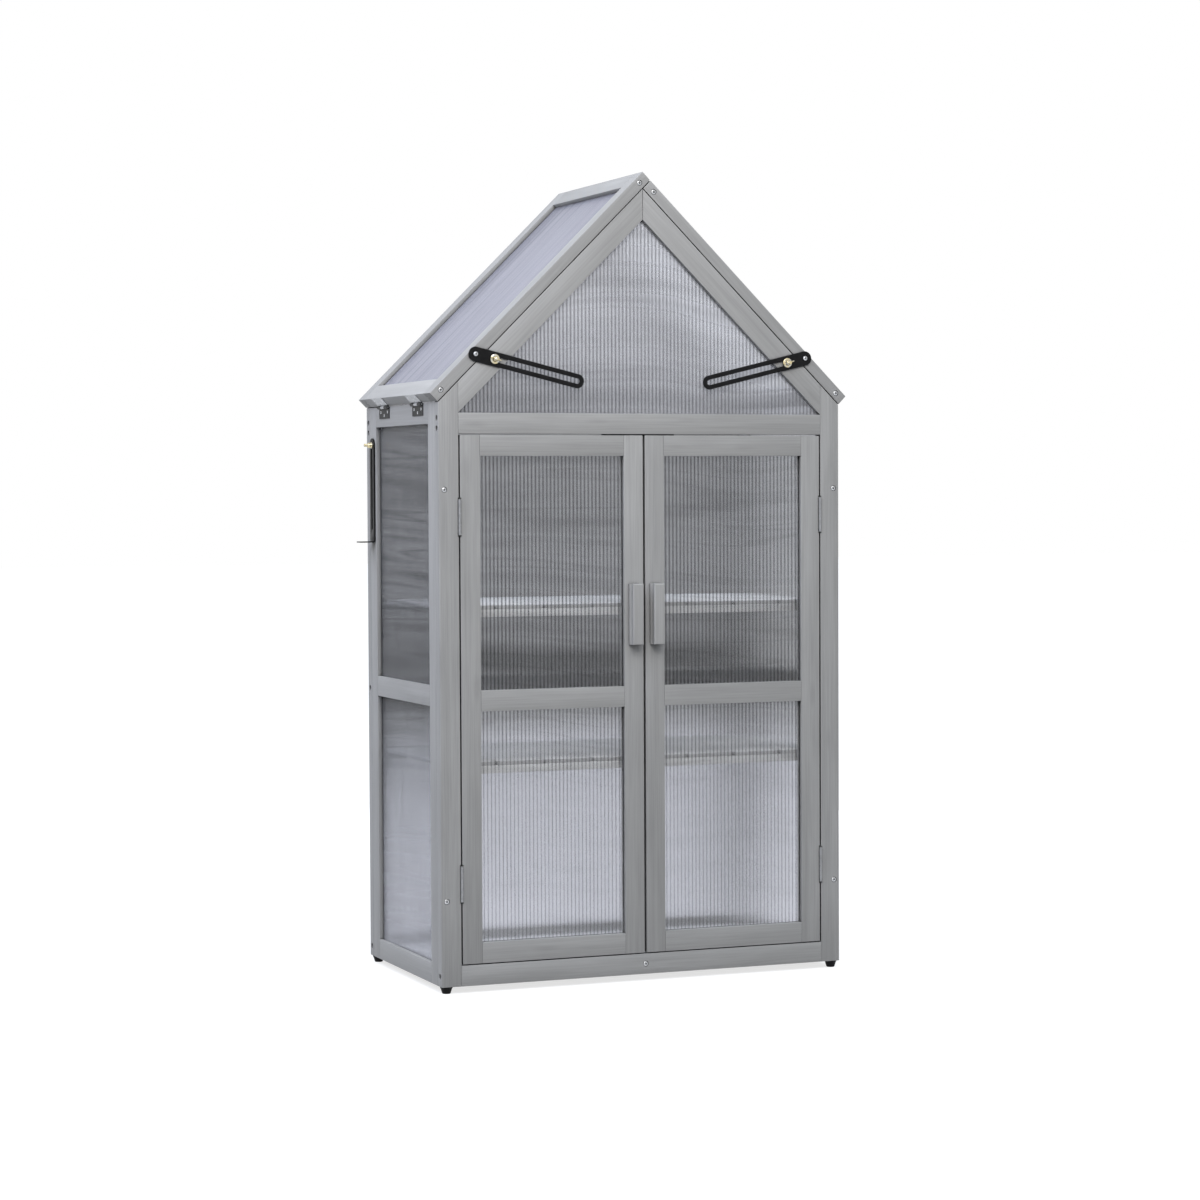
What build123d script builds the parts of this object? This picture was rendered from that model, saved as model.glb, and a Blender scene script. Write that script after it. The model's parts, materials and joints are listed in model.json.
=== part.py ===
from build123d import *
import os
from math import atan2, cos, degrees, floor, hypot, radians, sin, tan

os.makedirs("parts", exist_ok=True)

# A mini greenhouse in millimetres, +Z up. The ground is Z = 0, X runs along the front from left to right,
# Y runs from the front to the back, and the origin is the middle of the whole footprint, handles included.

# Cabinet
WIDTH = 760
DEPTH = 408
POST_HEIGHT = 1006
ROOF_PITCH = 44.6
FOOT_HEIGHT = 12
FOOT_TOP_RADIUS = 11
FOOT_BOTTOM_RADIUS = 7.5
FOOT_INSET = 12

# Timber, and the grooves that hold the panes
TIMBER_WIDTH = 36
TIMBER_THICK = 20
GROOVE_DEPTH = 8
GROOVE_WIDTH = 4.4
GROOVE_PLAY = 1
TENON_PLAY = 0.2

# Twin-wall sheet: two skins joined by webs, with fewer webs than the real sheet to keep the model light
PANE_THICK = 4
PANE_SKIN = 0.6
FLUTE_PITCH = 49
FLUTE_WEB = 0.8

# Front opening and doors
HEAD_RAIL_DROP = 54
BACK_MID_RAIL_LOW = 474
SIDE_MID_RAIL_LOW = 482
DOOR_SIDE_GAP = 2.6
DOOR_END_GAP = 2
DOOR_MEETING_GAP = 4
DOOR_MID_RAIL_LOW = 436
HANDLE_WIDTH = 20
HANDLE_DEPTH = 22
HANDLE_LENGTH = 107
HANDLE_RISE = 545
HANDLE_COVE_RADIUS = 7
HANDLE_COVE_DEPTH = 4
HANDLE_ROUND = 2

# Round forms that repeat have this many flat sides, to keep the model light
ROUND_SIDES = 12
FOOT_SIDES = 24

# Hinges
KNUCKLES = 3
KNUCKLE_RADIUS = 2.75
KNUCKLE_GAP = 0.4
PIN_RADIUS = 1.4
PIN_PLAY = 0.08
LEAF_THICK = 1.1
LEAF_CLEARANCE = 0.35
DOOR_HINGE_LENGTH = 62
DOOR_HINGE_REACH = 19
DOOR_HINGE_PROUD = 1
DOOR_HINGE_RISE = 108
DOOR_HINGE_DROP = 110
NOTCH_PLAY = 0.5
NOTCH_END = 2.5
ROOF_HINGE_LENGTH = 58
ROOF_HINGE_REACH = 20
ROOF_HINGE_INSET = 80
ROOF_HINGE_FACE = 3.05

# Roof
RAFTER_MITRE_GAP = 0.4
ROOF_SEAM = 1.5
RIDGE_GAP = 1.5
ROOF_OPENING = 92

# Roof stays
STAY_WIDTH = 25
STAY_THICK = 2
STAY_SLOT = 9
STAY_GAP = 0.8
STAY_PIVOT_UP = 106
STAY_BOLT_UP = 125
STAY_PIVOT_HOLE_PLAY = 0.3
STAY_END_PLAY = 0.5
PIVOT_SHANK_RADIUS = 2.5
PIVOT_HEAD_RADIUS = 5.5
PIVOT_HEAD_THICK = 2.4
PIVOT_BITE = 16

# Clamp bolts with wing nuts
BOLT_RADIUS = 3
BOLT_LENGTH = 17
BOLT_CLEARANCE = 0.35
FLANGE_RADIUS = 7.5
FLANGE_THICK = 1.2
FLANGE_GAP = 0.3
NUT_BASE_RADIUS = 5.5
NUT_TOP_RADIUS = 4.2
NUT_HEIGHT = 7.7
NUT_PLAY = 0.12
WING_SPAN = 11
WING_RADIUS = 4
WING_ROOT = 4.5
WING_THICK = 2

# Wall brackets
BRACKET_WIDTH = 25
BRACKET_THICK = 2
BRACKET_SLOT = 7
BRACKET_DROP = 177
BRACKET_SLOT_DROP = 150
BRACKET_TAB = 28
BRACKET_HOLE_RADIUS = 3
BRACKET_BEND = 3
BRACKET_TOP_FLAT = 1
BRACKET_GAP = 0.8
BRACKET_BOLT_DROP = 68

# Shelves and floor
UPPER_SHELF_TOP = 656
LOWER_SHELF_TOP = 385
FLOOR_TOP = 20.5
SLAT_COUNT = 8
SLAT_GAP = 4
SLAT_THICK = 7
BEARER_WIDTH = 22
BEARER_HEIGHT = 13.5
SHELF_PLAY = 1
SHELF_SETBACK = 2
CLEAT_REACH = 12
CLEAT_HEIGHT = 16

# Door catch
CATCH_WIDTH = 134
CATCH_DEPTH = 13
CATCH_ABOVE = 16
CATCH_BELOW = 11
CATCH_GAP = 0.4
STRIKE_WIDTH = 18
STRIKE_HEIGHT = 10
STRIKE_THICK = 1.2
STRIKE_INSET = 1.5

# What follows from these sizes
pitch = radians(ROOF_PITCH)
half_width = WIDTH / 2
front_y = -(DEPTH - HANDLE_DEPTH) / 2
back_y = front_y + DEPTH
middle_y = front_y + DEPTH / 2
inner_half = half_width - TIMBER_WIDTH
head_low = POST_HEIGHT - HEAD_RAIL_DROP
head_top = head_low + TIMBER_WIDTH
ridge_height = POST_HEIGHT + half_width * tan(pitch)
rafter_rise = POST_HEIGHT + TIMBER_WIDTH * tan(pitch) - head_top
inner_ridge = ridge_height - rafter_rise
pane_inset = GROOVE_DEPTH - GROOVE_PLAY
tenon_length = GROOVE_DEPTH - GROOVE_PLAY
side_depth = DEPTH - 2 * TIMBER_THICK

front_plane = Plane((0, front_y + TIMBER_THICK / 2, FOOT_HEIGHT), x_dir=(1, 0, 0), z_dir=(0, -1, 0))
back_plane = Plane((0, back_y - TIMBER_THICK / 2, FOOT_HEIGHT), x_dir=(1, 0, 0), z_dir=(0, -1, 0))
side_plane = Plane(
    (-half_width + TIMBER_THICK / 2, middle_y, FOOT_HEIGHT), x_dir=(0, -1, 0), z_dir=(-1, 0, 0)
)


def save(piece, name):
    """Label a finished piece and write it."""
    piece.part.label = name
    export_step(piece.part, f"parts/{name}.step")


def other_side(piece):
    """The same piece on the other side of the cabinet."""
    with BuildPart() as twin:
        mirror(piece.part, about=Plane.YZ)
    return twin


def both_sides(piece):
    """The piece together with its mirror image."""
    with BuildPart() as pair:
        add(piece.part)
        mirror(about=Plane.YZ)
    return pair


def save_sides(piece, name):
    """Write a left-hand piece and its right-hand mirror image."""
    save(piece, f"left_{name}")
    save(other_side(piece), f"right_{name}")


# Frames: every wall, door and roof panel is a frame of grooved boards, drawn on a plane through the middle
# of the timber, with x across the frame and y up its stiles from the lower edge.


def make_stiles(plane, width, height):
    """The two long boards of a frame, grooved along their inner edges."""
    board_x = (width - TIMBER_WIDTH) / 2
    groove_x = width / 2 - TIMBER_WIDTH + GROOVE_DEPTH / 2
    with BuildPart() as stiles:
        with BuildSketch(plane):
            with Locations((-board_x, height / 2), (board_x, height / 2)):
                Rectangle(TIMBER_WIDTH, height)
        extrude(amount=TIMBER_THICK / 2, both=True)
        with BuildSketch(plane):
            with Locations((-groove_x, height / 2), (groove_x, height / 2)):
                Rectangle(GROOVE_DEPTH, height)
        extrude(amount=GROOVE_WIDTH / 2, both=True, mode=Mode.SUBTRACT)
    return stiles


def make_rails(plane, width, lows, grooves, tenon=tenon_length):
    """Cross boards whose lower edges are at lows, with stub tenons and with grooves that start at grooves."""
    clear = width - 2 * TIMBER_WIDTH
    with BuildPart() as rails:
        with BuildSketch(plane):
            with Locations(*[(0, low + TIMBER_WIDTH / 2) for low in lows]):
                Rectangle(clear, TIMBER_WIDTH)
        extrude(amount=TIMBER_THICK / 2, both=True)
        with BuildSketch(plane):
            with Locations(*[(0, low + TIMBER_WIDTH / 2) for low in lows]):
                Rectangle(clear + 2 * tenon, TIMBER_WIDTH)
        extrude(amount=GROOVE_WIDTH / 2 - TENON_PLAY, both=True)
        with BuildSketch(plane):
            with Locations(*[(0, low + GROOVE_DEPTH / 2) for low in grooves]):
                Rectangle(clear + 2 * tenon, GROOVE_DEPTH)
        extrude(amount=GROOVE_WIDTH / 2, both=True, mode=Mode.SUBTRACT)
    return rails


def pane_grooves(lows):
    """Where the grooves start that hold a pane between each rail and the next."""
    starts = []
    for below, above in zip(lows, lows[1:]):
        starts += [below + TIMBER_WIDTH - GROOVE_DEPTH, above]
    return starts


def make_panes(plane, width, lows):
    """Twin-wall sheets between the rails, with their flutes running up the frame."""
    sheet_width = width - 2 * TIMBER_WIDTH + 2 * pane_inset
    flutes = floor(sheet_width / FLUTE_PITCH)
    with BuildPart() as panes:
        for below, above in zip(lows, lows[1:]):
            low = below + TIMBER_WIDTH - pane_inset
            foot = plane.from_local_coords((0, low, 0))
            with BuildSketch(Plane(foot, x_dir=plane.x_dir, z_dir=plane.y_dir)):
                Rectangle(sheet_width, PANE_THICK)
                with GridLocations(FLUTE_PITCH, 0, flutes, 1):
                    Rectangle(FLUTE_PITCH - FLUTE_WEB, PANE_THICK - 2 * PANE_SKIN, mode=Mode.SUBTRACT)
            extrude(amount=above + pane_inset - low)
    return panes


# Front and back frames

hinge_x = -(inner_half - DOOR_SIDE_GAP / 2)
hinge_y = front_y - DOOR_HINGE_PROUD
door_low = TIMBER_WIDTH + DOOR_END_GAP
door_top = head_low - DOOR_END_GAP
door_height = door_top - door_low
door_width = inner_half - DOOR_SIDE_GAP - DOOR_MEETING_GAP / 2
door_hinge_lows = [
    FOOT_HEIGHT + door_low + DOOR_HINGE_RISE,
    FOOT_HEIGHT + door_top - DOOR_HINGE_DROP - DOOR_HINGE_LENGTH,
]
notch_width = 2 * (KNUCKLE_RADIUS + NOTCH_PLAY)
notch_depth = KNUCKLE_RADIUS - DOOR_HINGE_PROUD + NOTCH_PLAY
notch_length = DOOR_HINGE_LENGTH + 2 * NOTCH_END
notch_centres = [
    (hinge_x, front_y + notch_depth / 2, low + DOOR_HINGE_LENGTH / 2) for low in door_hinge_lows
]


def make_posts(plane, groove):
    """Two corner posts, cut at the top to the slope of the roof, grooved up to the head rail where asked."""
    with BuildPart() as posts:
        with BuildSketch(plane):
            with BuildLine():
                Polyline(
                    (-half_width, 0),
                    (-inner_half, 0),
                    (-inner_half, POST_HEIGHT + TIMBER_WIDTH * tan(pitch)),
                    (-half_width, POST_HEIGHT),
                    close=True,
                )
            make_face()
            mirror(about=Plane.YZ)
        extrude(amount=TIMBER_THICK / 2, both=True)
        if groove:
            groove_x = inner_half + GROOVE_DEPTH / 2
            with BuildSketch(plane):
                with Locations((-groove_x, head_top / 2), (groove_x, head_top / 2)):
                    Rectangle(GROOVE_DEPTH, head_top)
            extrude(amount=GROOVE_WIDTH / 2, both=True, mode=Mode.SUBTRACT)
    return posts


def make_gable_rafters(plane):
    """Two rafters that meet in an upright mitre at the ridge, grooved along their lower edges."""
    groove_rise = GROOVE_DEPTH / cos(pitch)
    mitre_x = RAFTER_MITRE_GAP / 2
    mitre_low = inner_ridge - mitre_x * tan(pitch)
    with BuildPart() as rafters:
        for rise, thick, mode in (
            (rafter_rise, TIMBER_THICK, Mode.ADD),
            (groove_rise, GROOVE_WIDTH, Mode.SUBTRACT),
        ):
            for side in (-1, 1):
                with BuildSketch(plane):
                    with BuildLine():
                        Polyline(
                            (side * inner_half, head_top),
                            (side * mitre_x, mitre_low),
                            (side * mitre_x, mitre_low + rise),
                            (side * inner_half, head_top + rise),
                            close=True,
                        )
                    make_face()
                extrude(amount=thick / 2, both=True, mode=mode)
    return rafters


def make_gable_pane(plane):
    """The three-sided twin-wall sheet under the roof, with upright flutes."""
    low = head_top - pane_inset
    top = inner_ridge + pane_inset / cos(pitch)
    edge_x = inner_half - GROOVE_PLAY
    edge_top = top - edge_x * tan(pitch)
    flutes = floor(2 * edge_x / FLUTE_PITCH)
    foot = plane.from_local_coords((0, low, 0))
    with BuildPart() as pane:
        with BuildSketch(Plane(foot, x_dir=plane.x_dir, z_dir=plane.y_dir)):
            Rectangle(2 * edge_x, PANE_THICK)
            with GridLocations(FLUTE_PITCH, 0, flutes, 1):
                Rectangle(FLUTE_PITCH - FLUTE_WEB, PANE_THICK - 2 * PANE_SKIN, mode=Mode.SUBTRACT)
        extrude(amount=top - low)
        with BuildSketch(plane):
            with BuildLine():
                Polyline(
                    (-edge_x, low),
                    (edge_x, low),
                    (edge_x, edge_top),
                    (0, top),
                    (-edge_x, edge_top),
                    close=True,
                )
            make_face()
        extrude(amount=PANE_THICK, both=True, mode=Mode.INTERSECT)
    return pane


plain_posts = make_posts(front_plane, groove=False)
with BuildPart() as front_posts:
    add(plain_posts.part)
    for side in (1, -1):
        with Locations(*[(side * x, y, z) for x, y, z in notch_centres]):
            Box(notch_width, notch_depth, notch_length, mode=Mode.SUBTRACT)
save(front_posts, "front_posts")

gable_groove = head_top - GROOVE_DEPTH
save(make_rails(front_plane, WIDTH, [0, head_low], [gable_groove], tenon=0), "front_rails")
save(make_gable_rafters(front_plane), "front_gable_rafters")
save(make_gable_pane(front_plane), "front_gable_pane")

back_lows = [0, BACK_MID_RAIL_LOW, head_low]
save(make_posts(back_plane, groove=True), "back_posts")
save(make_rails(back_plane, WIDTH, back_lows, pane_grooves(back_lows) + [gable_groove]), "back_rails")
save(make_gable_rafters(back_plane), "back_gable_rafters")
save(make_gable_pane(back_plane), "back_gable_pane")
save(make_panes(back_plane, WIDTH, back_lows), "back_panes")

# Side frames, between the front and the back frame

side_lows = [0, SIDE_MID_RAIL_LOW, POST_HEIGHT - TIMBER_WIDTH]
save_sides(make_stiles(side_plane, side_depth, POST_HEIGHT), "side_stiles")
save_sides(make_rails(side_plane, side_depth, side_lows, pane_grooves(side_lows)), "side_rails")
save_sides(make_panes(side_plane, side_depth, side_lows), "side_panes")

# Shelves: thin slats that run front to back on a front and a back bearer, which rest on cleats. The floor's
# bearers are fixed to the front and back rails instead.

inner_face_x = half_width - TIMBER_THICK
shelf_length = 2 * (inner_face_x - SHELF_PLAY)
slat_width = (shelf_length - (SLAT_COUNT - 1) * SLAT_GAP) / SLAT_COUNT
slat_length = side_depth - 2 * SHELF_SETBACK


def make_slats(top):
    """The deck of one shelf."""
    with BuildPart() as slats:
        with BuildSketch(Plane((0, middle_y, FOOT_HEIGHT + top))):
            with GridLocations(slat_width + SLAT_GAP, 0, SLAT_COUNT, 1):
                Rectangle(slat_width, slat_length)
        extrude(amount=-SLAT_THICK)
    return slats


save(make_slats(UPPER_SHELF_TOP), "upper_shelf_slats")
save(make_slats(LOWER_SHELF_TOP), "lower_shelf_slats")
save(make_slats(FLOOR_TOP), "floor_slats")

bearer_reach = (side_depth - BEARER_WIDTH) / 2
with BuildPart() as shelf_bearers:
    for top, setback in ((UPPER_SHELF_TOP, SHELF_SETBACK), (LOWER_SHELF_TOP, SHELF_SETBACK), (FLOOR_TOP, 0)):
        with BuildSketch(Plane((0, middle_y, FOOT_HEIGHT + top - SLAT_THICK))):
            with GridLocations(0, 2 * (bearer_reach - setback), 1, 2):
                Rectangle(shelf_length, BEARER_WIDTH)
        extrude(amount=-BEARER_HEIGHT)
save(shelf_bearers, "shelf_bearers")

with BuildPart() as shelf_cleats:
    for top in (UPPER_SHELF_TOP, LOWER_SHELF_TOP):
        with BuildSketch(Plane((0, middle_y, FOOT_HEIGHT + top - SLAT_THICK - BEARER_HEIGHT))):
            with GridLocations(2 * inner_face_x - CLEAT_REACH, 2 * (bearer_reach - SHELF_SETBACK), 2, 2):
                Rectangle(CLEAT_REACH, BEARER_WIDTH)
        extrude(amount=-CLEAT_HEIGHT)
save(shelf_cleats, "shelf_cleats")

with BuildPart() as feet:
    with BuildSketch(Plane((0, middle_y, FOOT_HEIGHT))):
        with GridLocations(WIDTH - 2 * FOOT_INSET, DEPTH - 2 * FOOT_INSET, 2, 2):
            RegularPolygon(FOOT_TOP_RADIUS, FOOT_SIDES)
    extrude(amount=-FOOT_HEIGHT, taper=degrees(atan2(FOOT_TOP_RADIUS - FOOT_BOTTOM_RADIUS, FOOT_HEIGHT)))
save(feet, "feet")

# Hinges: each leaf is drawn on planes whose z runs along the pin, x along the leaf, and y to the face that it
# lies on


def make_hinge_leaves(planes, length, reach, face, first):
    """Hinge leaves whose knuckles take every second place along the pin, from the given first place."""
    step = length / KNUCKLES
    root = KNUCKLE_RADIUS + LEAF_CLEARANCE
    with BuildPart() as leaves:
        for plane in planes:
            with BuildSketch(plane):
                with Locations(((root + reach) / 2, face - LEAF_THICK / 2)):
                    Rectangle(reach - root, LEAF_THICK)
            extrude(amount=length)
            for place in range(first, KNUCKLES, 2):
                with BuildSketch(plane.offset(place * step + KNUCKLE_GAP / 2)):
                    RegularPolygon(KNUCKLE_RADIUS, ROUND_SIDES)
                    with Locations((root / 2, face - LEAF_THICK / 2)):
                        Rectangle(root, LEAF_THICK)
                    RegularPolygon(
                        PIN_RADIUS + PIN_PLAY, ROUND_SIDES, major_radius=False, mode=Mode.SUBTRACT
                    )
                extrude(amount=step - KNUCKLE_GAP)
    return leaves


def make_pins(planes, length):
    """Hinge pins as long as their hinges."""
    with BuildPart() as pins:
        for plane in planes:
            with BuildSketch(plane):
                RegularPolygon(PIN_RADIUS, ROUND_SIDES)
            extrude(amount=length)
    return pins


def turned_over(plane, length):
    """The plane of the other leaf on the same pin, seen from the pin's other end."""
    end = plane.from_local_coords((0, 0, length))
    return Plane(end, x_dir=plane.x_dir, z_dir=-plane.z_dir)


post_leaf_planes = [
    Plane((hinge_x, hinge_y, low), x_dir=(0, 1, 0), z_dir=(0, 0, 1)) for low in door_hinge_lows
]
door_leaf_planes = [turned_over(plane, DOOR_HINGE_LENGTH) for plane in post_leaf_planes]
door_leaf_face = DOOR_SIDE_GAP / 2
post_leaves = make_hinge_leaves(
    post_leaf_planes, DOOR_HINGE_LENGTH, DOOR_HINGE_REACH, door_leaf_face, first=0
)
save(both_sides(post_leaves), "door_hinge_post_leaves")
save_sides(
    make_hinge_leaves(door_leaf_planes, DOOR_HINGE_LENGTH, DOOR_HINGE_REACH, door_leaf_face, first=1),
    "door_hinge_leaves",
)

eave_z = FOOT_HEIGHT + POST_HEIGHT
roof_up = Vector(cos(pitch), 0, sin(pitch))
roof_out = Vector(-sin(pitch), 0, cos(pitch))
eave = Vector(-half_width, 0, eave_z)
roof_axis = Vector(-half_width - ROOF_HINGE_FACE, 0, eave_z - ROOF_HINGE_FACE * tan(pitch / 2))
roof_hinge_lows = [front_y + ROOF_HINGE_INSET, back_y - ROOF_HINGE_INSET - ROOF_HINGE_LENGTH]
roof_leaf_planes = [
    Plane(roof_axis + Vector(0, low, 0), x_dir=roof_out, z_dir=(0, 1, 0)) for low in roof_hinge_lows
]
wall_leaf_planes = [
    Plane(
        roof_axis + Vector(0, low + ROOF_HINGE_LENGTH, 0), x_dir=(0, 0, -1), z_dir=(0, -1, 0)
    )
    for low in roof_hinge_lows
]
wall_leaves = make_hinge_leaves(
    wall_leaf_planes, ROOF_HINGE_LENGTH, ROOF_HINGE_REACH, ROOF_HINGE_FACE, first=0
)
save(both_sides(wall_leaves), "roof_hinge_wall_leaves")
save_sides(
    make_hinge_leaves(roof_leaf_planes, ROOF_HINGE_LENGTH, ROOF_HINGE_REACH, ROOF_HINGE_FACE, first=1),
    "roof_hinge_leaves",
)

door_pins = make_pins(post_leaf_planes, DOOR_HINGE_LENGTH)
roof_pins = make_pins(roof_leaf_planes, ROOF_HINGE_LENGTH)
with BuildPart() as hinge_pins:
    add(door_pins.part)
    add(roof_pins.part)
    mirror(about=Plane.YZ)
save(hinge_pins, "hinge_pins")

# Doors

door_x = -(DOOR_MEETING_GAP + door_width) / 2
door_plane = Plane(
    (door_x, front_y + TIMBER_THICK / 2, FOOT_HEIGHT + door_low), x_dir=(1, 0, 0), z_dir=(0, -1, 0)
)
door_lows = [0, DOOR_MID_RAIL_LOW, door_height - TIMBER_WIDTH]
plain_door_stiles = make_stiles(door_plane, door_width, door_height)
with BuildPart() as left_door_stiles:
    add(plain_door_stiles.part)
    with Locations(*notch_centres):
        Box(notch_width, notch_depth, notch_length, mode=Mode.SUBTRACT)
save_sides(left_door_stiles, "door_stiles")
save_sides(make_rails(door_plane, door_width, door_lows, pane_grooves(door_lows)), "door_rails")
save_sides(make_panes(door_plane, door_width, door_lows), "door_panes")

handle_x = -(DOOR_MEETING_GAP + TIMBER_WIDTH) / 2
cove_x = HANDLE_WIDTH / 2 - HANDLE_COVE_DEPTH + HANDLE_COVE_RADIUS
handle_plane = Plane((handle_x, front_y - HANDLE_DEPTH / 2, FOOT_HEIGHT + door_low + HANDLE_RISE))
with BuildPart() as left_door_handle:
    with BuildSketch(handle_plane):
        Rectangle(HANDLE_WIDTH, HANDLE_DEPTH)
        with Locations((-cove_x, 0), (cove_x, 0)):
            Circle(HANDLE_COVE_RADIUS, mode=Mode.SUBTRACT)
    extrude(amount=HANDLE_LENGTH)
    fillet(left_door_handle.faces().sort_by(Axis.Y)[0].edges(), HANDLE_ROUND)
save_sides(left_door_handle, "door_handle")

# The magnet catch hangs behind the head rail, with its magnets just clear of the strike plates

catch_z = FOOT_HEIGHT + head_low
rail_back_y = front_y + TIMBER_THICK
with BuildPart() as magnet_catch:
    with BuildSketch(Plane((0, rail_back_y, catch_z), x_dir=(0, 1, 0), z_dir=(1, 0, 0))):
        with BuildLine():
            Polyline(
                (0, DOOR_END_GAP),
                (0, CATCH_ABOVE),
                (CATCH_DEPTH, CATCH_ABOVE),
                (CATCH_DEPTH, -CATCH_BELOW),
                (STRIKE_THICK + CATCH_GAP, -CATCH_BELOW),
                (STRIKE_THICK + CATCH_GAP, DOOR_END_GAP),
                close=True,
            )
        make_face()
    extrude(amount=CATCH_WIDTH / 2, both=True)
save(magnet_catch, "magnet_catch")

strike_z = FOOT_HEIGHT + door_top - STRIKE_HEIGHT / 2
strike_x = -(DOOR_MEETING_GAP + STRIKE_WIDTH) / 2 - STRIKE_INSET
with BuildPart() as left_strike:
    with BuildSketch(Plane((strike_x, rail_back_y, strike_z), x_dir=(-1, 0, 0), z_dir=(0, 1, 0))):
        Rectangle(STRIKE_WIDTH, STRIKE_HEIGHT)
    extrude(amount=STRIKE_THICK)
save_sides(left_strike, "door_strike_plate")

# Roof panels: frames like the others, laid on the slope. The left one laps over the end of the right one.

slope_length = half_width / cos(pitch)
lap = max(cos(2 * pitch) * ROOF_SEAM, cos(2 * pitch) * (ROOF_SEAM + TIMBER_THICK))
left_roof_length = slope_length + (ROOF_SEAM + TIMBER_THICK - lap) / sin(2 * pitch)
right_roof_length = slope_length + (ROOF_SEAM - RIDGE_GAP - lap) / sin(2 * pitch)
roof_middle = eave + roof_out * (ROOF_SEAM + TIMBER_THICK / 2) + Vector(0, middle_y, 0)
roof_plane = Plane(roof_middle, x_dir=(0, -1, 0), z_dir=roof_out)


pivot_out = ROOF_SEAM + TIMBER_THICK / 2
bolt_out = -rafter_rise * cos(pitch) / 2
stay_pivot = eave + roof_up * STAY_PIVOT_UP + roof_out * pivot_out
stay_bolt = eave + roof_up * STAY_BOLT_UP + roof_out * bolt_out
stay_y = front_y - STAY_GAP
for side, length in (("left", left_roof_length), ("right", right_roof_length)):
    roof_lows = [0, length - TIMBER_WIDTH]
    rafters = make_stiles(roof_plane, DEPTH, length)
    rails = make_rails(roof_plane, DEPTH, roof_lows, pane_grooves(roof_lows))
    pane = make_panes(roof_plane, DEPTH, roof_lows)
    for piece, name in ((rafters, "rafters"), (rails, "rails"), (pane, "pane")):
        save(piece if side == "left" else other_side(piece), f"{side}_roof_{name}")

# Roof stays: the slot is just long enough for the roof to reach its full opening

shut_reach = (stay_bolt - stay_pivot).length
pivot_arm = stay_pivot - roof_axis
bolt_arm = stay_bolt - roof_axis
shut_angle = atan2(pivot_arm.Z, pivot_arm.X) - atan2(bolt_arm.Z, bolt_arm.X)
open_angle = shut_angle + radians(ROOF_OPENING)
open_reach = hypot(
    pivot_arm.length * cos(open_angle) - bolt_arm.length, pivot_arm.length * sin(open_angle)
)
stay_length = open_reach + STAY_END_PLAY
slot_near = shut_reach - STAY_END_PLAY
stay_along = (stay_bolt - stay_pivot).normalized()
stay_plane = Plane((stay_pivot.X, stay_y, stay_pivot.Z), x_dir=stay_along, z_dir=(0, -1, 0))
with BuildPart() as left_stay_arm:
    with BuildSketch(stay_plane):
        with Locations((stay_length / 2, 0)):
            SlotCenterToCenter(stay_length, STAY_WIDTH)
        with Locations(((slot_near + stay_length) / 2, 0)):
            SlotCenterToCenter(stay_length - slot_near, STAY_SLOT, mode=Mode.SUBTRACT)
        Circle(PIVOT_SHANK_RADIUS + STAY_PIVOT_HOLE_PLAY, mode=Mode.SUBTRACT)
    extrude(amount=STAY_THICK)
save_sides(left_stay_arm, "stay_arm")

head_seat = STAY_THICK + STAY_PIVOT_HOLE_PLAY
with BuildPart() as left_pivot_screw:
    with BuildSketch(stay_plane.offset(head_seat)):
        Circle(PIVOT_HEAD_RADIUS)
    extrude(amount=PIVOT_HEAD_THICK)
    with BuildSketch(stay_plane.offset(head_seat)):
        RegularPolygon(PIVOT_SHANK_RADIUS, ROUND_SIDES)
    extrude(amount=-(head_seat + STAY_GAP + PIVOT_BITE))
save_sides(left_pivot_screw, "stay_pivot_screw")

# Clamp bolts: drawn on planes that lie on the clamped strip's outer face, with z along the bolt, outwards


def make_clamp_bolt(plane, tail):
    """A bolt that starts the given distance behind the plane."""
    with BuildPart() as bolt:
        with BuildSketch(plane.offset(-tail)):
            RegularPolygon(BOLT_RADIUS, ROUND_SIDES)
        extrude(amount=BOLT_LENGTH)
    return bolt


def make_wing_nut(plane):
    """A wing nut: a flanged, tapered hub with two rounded wings that rise outwards."""
    seat = plane.offset(FLANGE_GAP)
    upright = Plane(seat.origin, x_dir=seat.x_dir, z_dir=-seat.y_dir)
    wing_x = WING_SPAN - WING_RADIUS
    hub_height = NUT_HEIGHT - FLANGE_THICK
    with BuildPart() as nut:
        with BuildSketch(seat):
            RegularPolygon(FLANGE_RADIUS, ROUND_SIDES)
        extrude(amount=FLANGE_THICK)
        with BuildSketch(seat.offset(FLANGE_THICK)):
            RegularPolygon(NUT_BASE_RADIUS, ROUND_SIDES)
        extrude(amount=hub_height, taper=degrees(atan2(NUT_BASE_RADIUS - NUT_TOP_RADIUS, hub_height)))
        with BuildSketch(upright):
            with Locations((-wing_x, NUT_HEIGHT - WING_RADIUS / 2), (wing_x, NUT_HEIGHT - WING_RADIUS / 2)):
                RegularPolygon(WING_RADIUS, ROUND_SIDES)
            with Locations((0, FLANGE_THICK + WING_ROOT / 2)):
                Rectangle(2 * wing_x, WING_ROOT)
        extrude(amount=WING_THICK / 2, both=True)
        with BuildSketch(seat):
            RegularPolygon(BOLT_RADIUS + NUT_PLAY, ROUND_SIDES, major_radius=False)
        extrude(amount=NUT_HEIGHT + WING_RADIUS, mode=Mode.SUBTRACT)
    return nut


stay_bolt_plane = Plane(
    (stay_bolt.X, stay_y - STAY_THICK, stay_bolt.Z), x_dir=stay_along, z_dir=(0, -1, 0)
)
save_sides(make_clamp_bolt(stay_bolt_plane, STAY_THICK + STAY_GAP - BOLT_CLEARANCE), "stay_bolt")
save_sides(make_wing_nut(stay_bolt_plane), "stay_wing_nut")

# Wall brackets: slotted strips that hang from a bolt in the back stiles, with a tab bent out at the foot

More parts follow.
